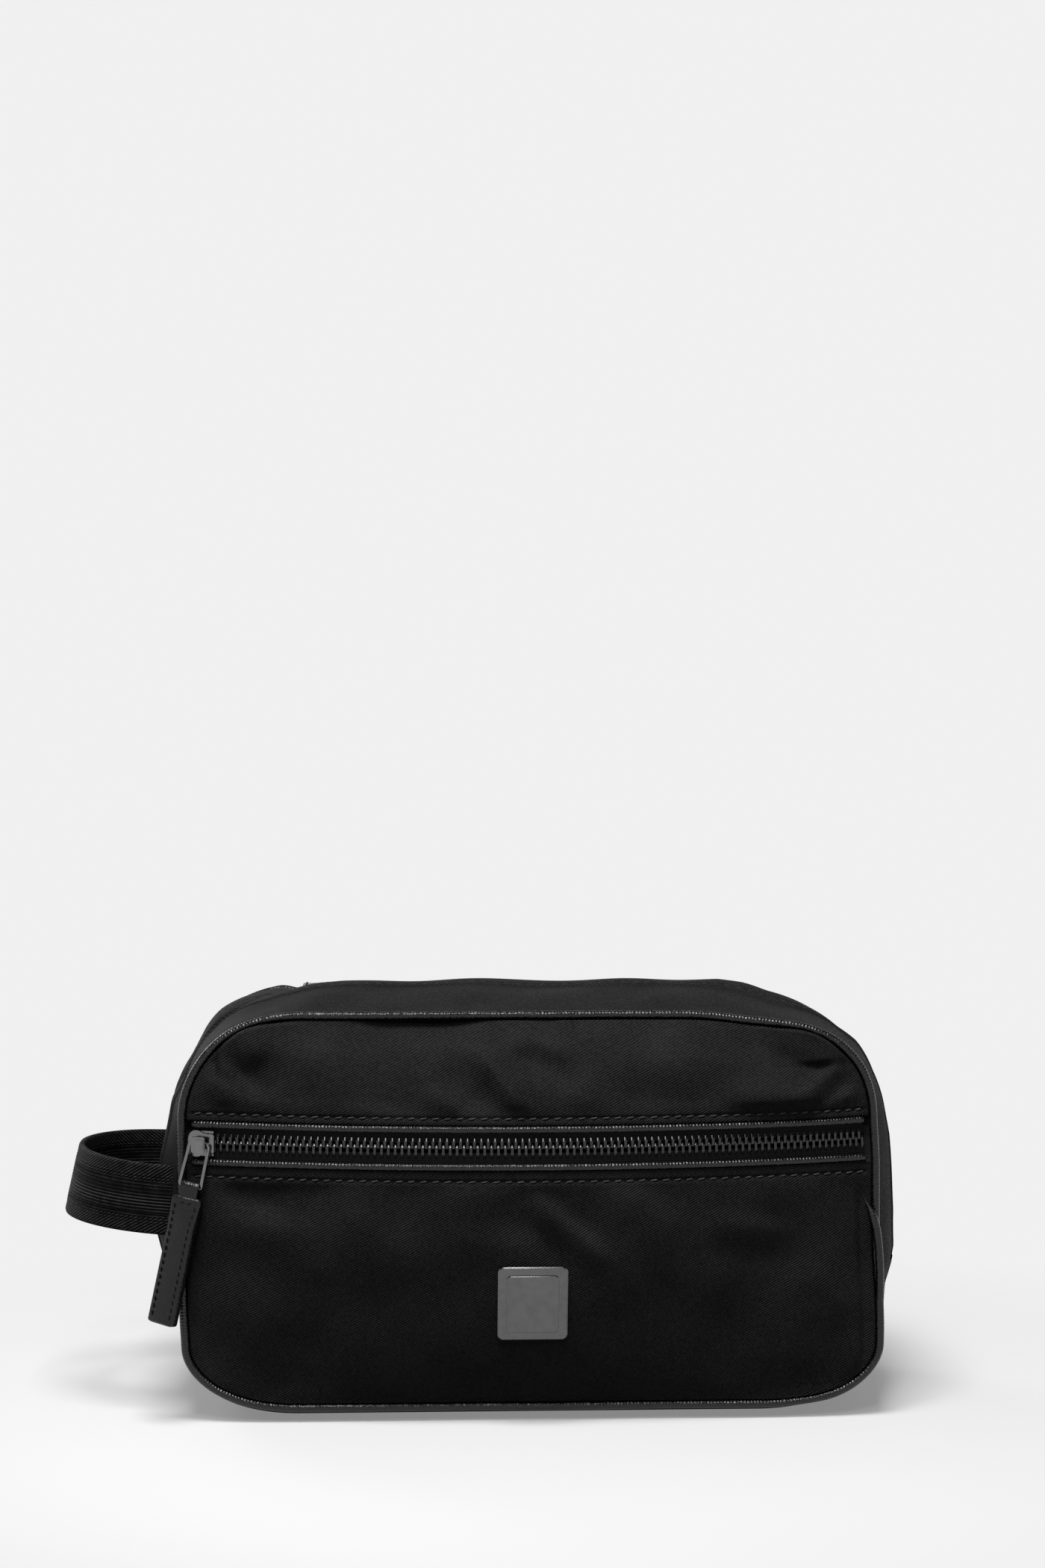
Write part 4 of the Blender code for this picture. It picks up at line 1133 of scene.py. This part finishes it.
def mouth_teeth(name, run, sign, offset):
    """Teeth along the top zip, counted from the middle so that both rows mesh."""
    line = chain_line(run)
    length = along(line)
    middle = np.interp(0.0, line[:, 0] * np.sign(line[-1, 0] - line[0, 0]), length)
    joins = 0.0 if line[:, 0].max() > CHAIN_HALF else PITCH / 2
    starts, ends = (CHAIN_HALF if abs(line[k, 0]) > CHAIN_HALF else joins for k in (0, -1))
    first = math.ceil((starts - middle) / PITCH - offset - 1e-6)
    last = math.floor((length[-1] - middle - ends) / PITCH - offset + 1e-6)
    places = middle + (np.arange(first, last + 1) + offset) * PITCH
    ahead = unit(sampled(places, length, np.gradient(line, axis=0)))
    across, out = sign * np.array(INTO_BAG), np.cross(ahead, INTO_BAG)
    return teeth(name, sampled(places, length, line), ahead, across, out)


def mouth_zip():
    for side, run in HALVES.items():
        tape = mouth_tape(f"mouth_tape_front_{side}", run, -1)
        lip_piece(tape, side, "zip_tape", f"front_zip_tape_{side}", "mouth_flap_tape")
        row = mouth_teeth(f"mouth_teeth_front_{side}", run, -1, 0.0)
        lip_piece(row, side, "gunmetal", f"front_zip_row_{side}", "mouth_flap_row")
    finish_piece(mouth_tape("mouth_tape_back", TOP_RUN, 1), "bag", "zip_tape", "back_zip_tape")
    finish_piece(mouth_teeth("mouth_teeth_back", TOP_RUN, 1, 0.5), "bag", "gunmetal", "back_zip_row")


mouth_zip()


# Rigid trim: bevelled slabs joined into one mesh
def slab(outline, low, high, bevel, segments=2):
    """Points and faces of a flat shape with thickness and rounded edges."""
    shaped = bmesh.new()
    rings = [[shaped.verts.new((x, y, z)) for x, y in outline] for z in (low, high)]
    shaped.faces.new(rings[0][::-1])
    shaped.faces.new(rings[1])
    for k in range(len(outline)):
        j = (k + 1) % len(outline)
        shaped.faces.new((rings[0][k], rings[0][j], rings[1][j], rings[1][k]))
    bmesh.ops.recalc_face_normals(shaped, faces=shaped.faces)
    rims = [e for e in shaped.edges if abs(e.verts[0].co.z - e.verts[1].co.z) < 1e-9]
    bmesh.ops.bevel(shaped, geom=rims, offset=bevel, segments=segments, profile=0.6, affect="EDGES")
    shaped.verts.index_update()
    points = [v.co.copy() for v in shaped.verts]
    faces = [[v.index for v in f.verts] for f in shaped.faces]
    shaped.free()
    return points, faces


def rounded(wide, high, radius, centre=(0.0, 0.0), steps=5):
    """Outline of a rectangle with round corners; wide and high are half sizes."""
    outline = []
    for corner, (sx, sy) in enumerate(((1, 1), (-1, 1), (-1, -1), (1, -1))):
        for k in range(steps + 1):
            turn = math.pi / 2 * (corner + k / steps)
            outline.append((
                centre[0] + sx * (wide - radius) + radius * math.cos(turn),
                centre[1] + sy * (high - radius) + radius * math.sin(turn),
            ))
    return outline


def merged(name, shapes, frame_at, stuff, sharp=35):
    """One object from several closed shapes given in a frame's own axes."""
    points, faces = [], []
    for shape_points, shape_faces in shapes:
        start = len(points)
        points += [frame_at @ Vector(p) for p in shape_points]
        faces += [[start + c for c in face] for face in shape_faces]
    made = mesh_object(name, points, faces, [stuff], np.array([(p[0], p[2]) for p in points]))
    made.data.set_sharp_from_angle(angle=math.radians(sharp))
    return made


def sideways(shape):
    """A shape whose thickness runs along the frame's first axis."""
    points, faces = shape
    return [Vector((p[2], p[0], p[1])) for p in points], faces


# Half outline of a slider's plates: place along it, from the narrow end, and half width
SLIDER_BELL = [
    (SLIDER_LENGTH / 2, 0.0030), (SLIDER_LENGTH / 2 - 0.0005, 0.0034), (0.0022, 0.0035), (0.0012, 0.0037),
    (0.0002, 0.0042), (-0.0008, 0.0047), (-0.0018, 0.0048), (-0.0028, 0.0047), (-0.0038, 0.0041),
    (-0.0045, 0.0032), (-SLIDER_LENGTH / 2, 0.0018),
]
FLANGE = 0.0009
OVERLAP = 0.0003  # how far the shapes of a slider run into each other
SMALL_BEVEL = 0.0002
LOW_BAR = 0.0005  # bar of the top slider, which lies lower and has no cap


def slider(name, frame_at, wide_end, body, node, bar=LUG_BAR):
    """A zip slider: two bell shaped plates, side flanges and a bridge with a stepped cap."""
    half = [(-wide_end * x, y) for x, y in SLIDER_BELL]
    bell = half + [(x, -y) for x, y in reversed(half)]
    plates = ((PLATE_INNER, PLATE_OUTER), (-PLATE_OUTER, -PLATE_INNER))
    shapes = [slab(bell, low, high, bevel=0.00035) for low, high in plates]
    tall = bar == LUG_BAR
    top = PLATE_OUTER + (LUG_CLEAR if tall else LUG_CLEAR / 2 + YOKE_WIRE / 2 + 0.0001)
    for sign in (1, -1):
        flange = rounded(0.0030, 0.0005, radius=0.0003, centre=(wide_end * -0.0015, sign * 0.0040))
        aside = sign * (LUG_TUNNEL_HALF + LUG_BAR / 2)
        post = rounded(0.0011, LUG_BAR / 2, radius=0.0003, centre=(0.0, aside))
        shapes += [
            slab(flange, PLATE_INNER - FLANGE, PLATE_INNER + OVERLAP, SMALL_BEVEL),
            slab(flange, -PLATE_INNER - OVERLAP, FLANGE - PLATE_INNER, SMALL_BEVEL),
            slab(post, PLATE_OUTER - OVERLAP, top + OVERLAP, SMALL_BEVEL),
        ]
    bridge = rounded(0.0026, LUG_TUNNEL_HALF + LUG_BAR, radius=0.0008)
    shapes.append(slab(bridge, top, top + bar, bar * 0.3))
    if tall:
        cap = rounded(0.0015, LUG_TUNNEL_HALF, radius=0.0004, centre=(wide_end * -0.0007, 0.0))
        shapes.append(slab(cap, top + bar - 0.0002, top + bar + 0.0004, SMALL_BEVEL))
    finish_piece(merged(name, shapes, frame_at, GUNMETAL), body, "gunmetal", node)


def stirrup(name, frame_at, body, node):
    """A flat cast loop: narrow at the slider, its legs deeper towards the foot."""
    foot = YOKE_HALF - YOKE_WIRE / 2
    corners = np.array([(-foot, -YOKE_DROP), (foot, -YOKE_DROP), (YOKE_TOP, 0.0), (-YOKE_TOP, 0.0)])
    path = []
    for k, here in enumerate(corners):
        far = corners[(k + 1) % 4]
        start = here + unit(corners[k - 1] - here) * YOKE_TURN
        end, stop = here + unit(far - here) * YOKE_TURN, far + unit(here - far) * YOKE_TURN
        path += [(1 - t) ** 2 * start + 2 * t * (1 - t) * here + t ** 2 * end for t in np.linspace(0, 1, 7)]
        path += [end + (stop - end) * t for t in np.linspace(0, 1, 10)[1:-1]]
    path = np.array(path)
    ahead = unit(np.roll(path, -1, axis=0) - np.roll(path, 1, axis=0))
    side = joined(ahead[:, 1], -ahead[:, 0])
    drop = -path[:, 1] / YOKE_DROP
    leg = ease(drop, 0.2, 0.75) * (1 - ease(drop, 0.93, 0.99))
    deep = YOKE_WIRE / 2 + YOKE_DEEPER * leg
    points = []
    for spot, across, thick in zip(path, side, deep):
        points += [(*(spot + across * a * YOKE_WIRE / 2), b * thick) for a, b in TOOTH_SECTION]
    faces = grid_faces(len(path), len(TOOTH_SECTION), True, True).tolist()
    made = merged(name, [(points, faces)], frame_at, GUNMETAL)
    made.data.update()
    outer = max(made.data.polygons, key=lambda p: (frame_at.inverted() @ p.center).x)
    if outer.normal.dot(frame_at.to_3x3() @ Vector((1, 0, 0))) < 0:
        made.data.flip_normals()
    finish_piece(made, body, "gunmetal", node)


def strap(start, end, half):
    """A long leather pad with rounded edges and corners, in closely set sections."""
    ends = np.array([0.0, 0.0002, 0.0005, 0.0009, TAB_CORNER])
    middle = np.linspace(start - TAB_CORNER, end + TAB_CORNER, 44)[1:-1]
    points, sides, soft = [], 12, TAB_SOFT
    for y in np.concatenate([start - ends, middle, end + ends[::-1]]):
        near = min(start - y, y - end, TAB_CORNER)
        wide = TAB_HALF - TAB_CORNER + math.sqrt(TAB_CORNER ** 2 - (TAB_CORNER - near) ** 2)
        thick = half - soft + soft * math.sqrt(min(1.0, 0.1 + near / soft))
        for x, z in ((1, 1), (-1, 1), (-1, -1), (1, -1)):
            for t in (0.0, 0.5, 1.0) if x * z > 0 else (1.0, 0.5, 0.0):
                across = wide - soft + soft * math.cos(math.pi / 2 * t)
                points.append((x * across, y, z * (thick - soft + soft * math.sin(math.pi / 2 * t))))
    sections = grid_faces(len(points) // sides, sides, wrap_columns=True).tolist()
    return points, [face[::-1] for face in sections] + end_caps(len(points), sides)


def tab(name, frame_at, body, node, shape, half):
    """A stitched leather tab; its neck wraps the stirrup's foot, and shape bends or twists it."""
    start, end = -TAB_EYE_OUTER - YOKE_WIRE - RUN, -TAB_NECK - TAB_LENGTH
    pad, pad_faces = strap(start, end, half)
    neck_half = YOKE_HALF - YOKE_WIRE - 0.0001
    eye = min(TAB_EYE_OUTER, half + 0.0006)
    profile = [(eye * math.cos(t), eye * math.sin(t)) for t in np.linspace(-2.2, 2.2, 17)]
    profile += [(-0.0030, half * 0.95), (-0.0058, half * 0.9)]
    profile += [(-0.0058, -half * 0.9), (-0.0030, -half * 0.95)]
    neck = sideways(slab(profile, -neck_half, neck_half, bevel=0.0003))
    made = merged(name, [([shape(p) for p in pad], pad_faces), neck], frame_at, LEATHER, sharp=50)
    finish_piece(made, body, "leather", node)
    edge, foot, top = TAB_HALF - TAB_STITCH_IN, end + TAB_STITCH_IN, start - 0.0022
    lines = {
        "left": ((-edge, foot), (-edge, top)),
        "right": ((edge, foot), (edge, top)),
        "top": ((0.001 - edge, top), (edge - 0.001, top)),
    }
    for label, (first, last) in lines.items():
        places = np.linspace(first, last, 30)
        for face, sign in (("front", 1), ("back", -1)):
            points, raised = (
                np.array([frame_at @ Vector(shape((x, y, sign * (half + lift)))) for x, y in places])
                for lift in (0.0, 0.001)
            )
            made = stitches(f"{name}_stitches_{label}_{face}", points, unit(raised - points), *TAB_STITCH)
            finish_piece(made, body, "leather")


def twisted(point):
    """Turns the hanging pocket tab's right edge forward below its neck."""
    x, y, z = point
    turn = math.radians(TAB_TWIST) * float(ease(-y, 0.004, 0.016))
    return (x * math.cos(turn) - z * math.sin(turn), y, x * math.sin(turn) + z * math.cos(turn))


HANG_START = 0.036  # length of the top tab that lies on the bag
HANG_CURVE = 26.0  # how fast the rest of it falls away


def drooping(point):
    """Lets the end of the top tab hang over the rear edge."""
    x, y, z = point
    return (x, y, z - HANG_CURVE * max(0.0, -y - HANG_START) ** 2)


def turned(frame_at, axis, degrees):
    return frame_at @ Matrix.Rotation(math.radians(degrees), 4, axis)


def pull(prefix, frame_at, lean, standoff, droop, shape, half):
    bar = turned(frame_at @ Matrix.Translation((0, 0, BAR_HEIGHT)), "Z", -lean)
    hung = turned(bar, "X", -standoff)
    stirrup(f"{prefix}_stirrup_cast", hung, f"{prefix}_stirrup", f"{prefix}_yoke")
    foot = turned(hung @ Matrix.Translation((0, -YOKE_DROP, 0)), "X", droop)
    tab(f"{prefix}_tab_leather", foot, f"{prefix}_tab", f"{prefix}_tab", shape, half)


def chain_height(x):
    line = chain_line(TOP_RUN)
    order = np.argsort(line[:, 0])
    return float(np.interp(x, line[order, 0], line[order, 2]))


def pulls():
    place = Vector(on_arc(-POCKET_ANGLE, CHAIN_RADIUS, ZIP_HEIGHT))
    facing = Matrix.Rotation(-POCKET_ANGLE, 4, "Z") @ Matrix.Rotation(math.pi / 2, 4, "X")
    pocket = Matrix.Translation(place) @ facing
    slider("pocket_slider_cast", pocket, -1, "pocket_slider", "pocket_slider")
    pull("pocket", pocket, PULL_LEAN, PULL_STANDOFF, 0.0, twisted, TAB_THICK * 0.6)
    bar = Vector(JOINTS["mouth_pull_swing"]["pos_m"])
    place = Vector((bar.x, bar.y, chain_height(bar.x)))
    mouth = Matrix.Translation(place) @ Matrix.Rotation(math.pi, 4, "Z")
    slider("mouth_slider_cast", mouth, 1, "mouth_slider", "mouth_slider", LOW_BAR)
    pull("mouth", mouth, 0.0, MOUTH_LIFT, MOUTH_LIFT + MOUTH_DROOP, drooping, TAB_THICK / 3)


pulls()


# Side loop of ribbed webbing
LOOP_RIB = 0.00016  # height of a rib
LOOP_RIB_PITCH = 0.00104
LOOP_RIB_END = (0.0078, 0.0092)  # distances from the middle over which the ribs end
LOOP_DRAWN_IN = 0.0028
LOOP_LEAN = 0.22  # lean towards the bag, by height
LOOP_LIFT = 0.0028


def side_loop():
    low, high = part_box("side_loop")
    height, outer = (low.z + high.z) / 2, high.y
    inner, reach = outer - WEBBING, high.x - low.x
    turns = np.linspace(-math.pi / 2, math.pi / 2, 721)
    centre = joined(high.x - (reach - WEBBING / 2) * np.cos(turns), (inner + WEBBING / 2) * np.sin(turns))
    length = along(centre)
    even = np.linspace(0, length[-1], 241)
    line = sampled(even, length, centre)
    ahead = unit(np.gradient(line, axis=0))
    out = joined(ahead[:, 1], -ahead[:, 0])
    if out[len(out) // 2, 0] > 0:
        out = -out
    v = np.linspace(-WEBBING_WIDTH / 2, WEBBING_WIDTH / 2, 121)
    ribs = LOOP_RIB * np.cos(2 * math.pi * v / LOOP_RIB_PITCH) * (1 - ease(np.abs(v), *LOOP_RIB_END))
    thin = 1 - 0.35 * ease(np.abs(v), WEBBING_WIDTH / 2 - 0.0008, WEBBING_WIDTH / 2)
    thick = WEBBING / 2 * thin + ribs
    up, deep = np.concatenate([v, v[::-1]]), np.concatenate([thick, -thick[::-1]])
    points = np.zeros((len(even), len(up), 3))
    points[:, :, :2] = line[:, None, :] + out[:, None, :] * deep[None, :, None]
    loose = np.cos(np.linspace(-math.pi / 2, math.pi / 2, len(even)))[:, None]
    points[:, :, 0] += loose * (LOOP_DRAWN_IN + LOOP_LEAN * up)
    points[:, :, 2] = height + up + loose * LOOP_LIFT
    made = grid_object("side_loop_webbing", points, [WEB], joined(even[:, None], up), wrap_columns=True,
                       outward=lambda p: (0, 0, p[2] - height))
    finish_piece(made, "bag", "webbing", "side_loop")


side_loop()


# Plain bevelled plate on the lower front
def front_plate():
    low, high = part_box("front_plate")
    height, wide = (low.z + high.z) / 2, (high.x - low.x) / 2
    tall = wide * PLATE_TALLER
    depth = front_mid(np.zeros(3), np.array([height - 0.001, height, height + 0.001]))
    tilt = -math.atan((depth[2] - depth[0]) / 0.002)
    seat = Matrix.Translation((0, depth[1] - FABRIC / 2, height)) @ Matrix.Rotation(tilt, 4, "X")
    seat = seat @ Matrix.Rotation(math.pi / 2, 4, "X")
    rim = rounded(wide, tall, radius=0.0022)
    face = rounded(wide - PLATE_RIM, tall - PLATE_RIM, radius=0.0014)
    shapes = [
        slab(rim, GAP, GAP + PLATE_THICK * 0.72, PLATE_BEVEL, segments=3),
        slab(face, GAP + PLATE_THICK * 0.5, GAP + PLATE_THICK, bevel=0.0005, segments=3),
    ]
    made = merged("front_plate_metal", shapes, seat, PLATE_METAL, sharp=30)
    finish_piece(made, "bag", "gunmetal", "front_plate")


front_plate()


# Lining inside the main compartment and the pocket
LINING_WAVE = 0.0004
LINING_CLEAR = 0.0009  # space between the base gusset and the lining band


def lining_wall(name, y, node, seed):
    ring = on_gusset(RING[::3], np.array([abs(y) + LINING]), -FABRIC / 2 - GAP, CROWNS[np.sign(y)])[:, 0]
    middle = np.array([0.0, y, MIDDLE_HEIGHT])
    ring[:, 1] = y
    shares = np.concatenate([[0.002], np.linspace(0.06, 1.0, 16)])
    points = middle + shares[None, :, None] * (ring[:, None, :] - middle)
    wave = LINING_WAVE * ripples(points[:, :, 0], points[:, :, 2], size=0.035, seed=seed)
    points[:, :, 1] += (1 - shares ** 4) * wave
    flat = points[:, :, [0, 2]]
    made = grid_object(name, points, [LINING_CLOTH], flat, wrap_rows=True, outward=lambda p: (0, -y, 0))
    finish_piece(made, "bag", "lining", node)


def lining_band():
    y = np.linspace(WALL_Y + LINING + GAP, BACK_WALL_Y - GAP, 30)
    length = along(BASE[:, :2])[:, None]
    wave = LINING_WAVE * free(y) * (1 + ripples(length, y, size=0.03, seed=43) / 2.5)
    rise = -FABRIC / 2 - LINING_CLEAR - wave
    points = on_gusset(BASE, y, rise)
    made = grid_object("lining_band_cloth", points, [LINING_CLOTH], gusset_flat(BASE, y))
    finish_piece(made, "bag", "lining", "lining_band")


lining_wall("pocket_wall_cloth", WALL_Y, "pocket_wall", 41)
lining_wall("lining_back_cloth", BACK_WALL_Y, "lining_back", 42)
lining_band()


# Studio: a pale floor that curves up into a low wall, a dim sky and three lamps
PALE = 0.24  # glow of the floor beside the object
FAR_PALE = 0.871  # glow of the floor and wall away from it
FLOOR = 0.55  # how pale the floor is to the camera
FLOOR_BOUNCE = 0.16  # how pale the floor is to the light that it sends back up
FAR_FROM = (0.15, 0.34)  # distances over which the floor turns evenly pale
FLOOR_FLAT, FLOOR_BEND, WALL_TOP = 2.2, 0.8, 1.3
SKY = (0.06, 0.17)  # strength from low to high
LAMP_TARGET = (0, 0, 0.08)
LAMPS = [  # name, place, size in metres and power in watts
    ("softbox", (-0.12, -0.52, 1.30), 0.50, 20.0),
    ("front_softbox", (-0.06, -1.05, 1.00), 0.28, 3.2),
    ("back_softbox", (-0.85, 1.00, 0.62), 0.60, 5.0),
]


def pale_floor():
    """Matte near the object, where it takes the shadow, and evenly pale further out."""
    made = bpy.data.materials.new("pale_floor")
    made.use_nodes = True
    nodes = Nodes(made)
    nodes.tree.nodes.clear()
    rays = nodes.add("LightPath", {}).outputs
    seen = nodes.math("MAXIMUM", rays["Is Camera Ray"], rays["Is Glossy Ray"])
    seen = nodes.math("MAXIMUM", seen, rays["Is Transmission Ray"])
    glow = nodes.add("Emission", {"Strength": nodes.times(seen, PALE)})
    tone = nodes.plus(nodes.times(seen, FLOOR - FLOOR_BOUNCE), FLOOR_BOUNCE)
    matte = nodes.add("BsdfDiffuse", {"Color": tone})
    near = nodes.add("AddShader", {0: glow.outputs[0], 1: matte.outputs[0]})
    away = nodes.add("VectorMath", {0: nodes.place()}, operation="LENGTH")
    share = nodes.times(seen, nodes.step(away.outputs["Value"], *FAR_FROM))
    far = nodes.add("Emission", {"Strength": FAR_PALE})
    both = nodes.add("MixShader", {0: share, 1: near.outputs[0], 2: far.outputs[0]})
    nodes.add("OutputMaterial", {"Surface": both.outputs[0]})
    return made


def studio():
    bend = [(FLOOR_FLAT + FLOOR_BEND * math.sin(t), FLOOR_BEND - FLOOR_BEND * math.cos(t))
            for t in np.linspace(0, math.pi / 2, 12)]
    flat = [(0.02, 0.0), (0.5, 0.0), (1.2, 0.0)]
    reach, height = np.array(flat + bend + [(FLOOR_FLAT + FLOOR_BEND, WALL_TOP)]).T
    turns = ring_turns(96)[:, None]
    points = joined(reach * np.cos(turns), reach * np.sin(turns), height)
    faces = grid_faces(len(turns), len(reach), wrap_rows=True).tolist()
    faces.append([k * len(reach) for k in range(len(turns))])
    floor = mesh_object("floor", points.reshape(-1, 3), faces, [pale_floor()])
    floor.location.z = -0.0002


def sky():
    world = bpy.data.worlds.new("sky")
    world.use_nodes = True
    bpy.context.scene.world = world
    nodes = Nodes(world)
    split = nodes.add("SeparateXYZ", {0: nodes.add("TexCoord", {}).outputs["Generated"]})
    light = nodes.tree.nodes["Background"].inputs
    nodes.feed(light["Strength"], nodes.span(split.outputs[2], *SKY))
    nodes.feed(light["Color"], (1, 1, 1, 1))


def lamp(name, place, size, power):
    data = bpy.data.lights.new(name, "AREA")
    data.size = size
    data.energy = power
    made = new_object(name, data)
    made.location = place
    made.rotation_euler = (Vector(LAMP_TARGET) - Vector(place)).to_track_quat("-Z", "Y").to_euler()


studio()
sky()
for each in LAMPS:
    lamp(*each)

bpy.context.scene.view_settings.view_transform = "Standard"
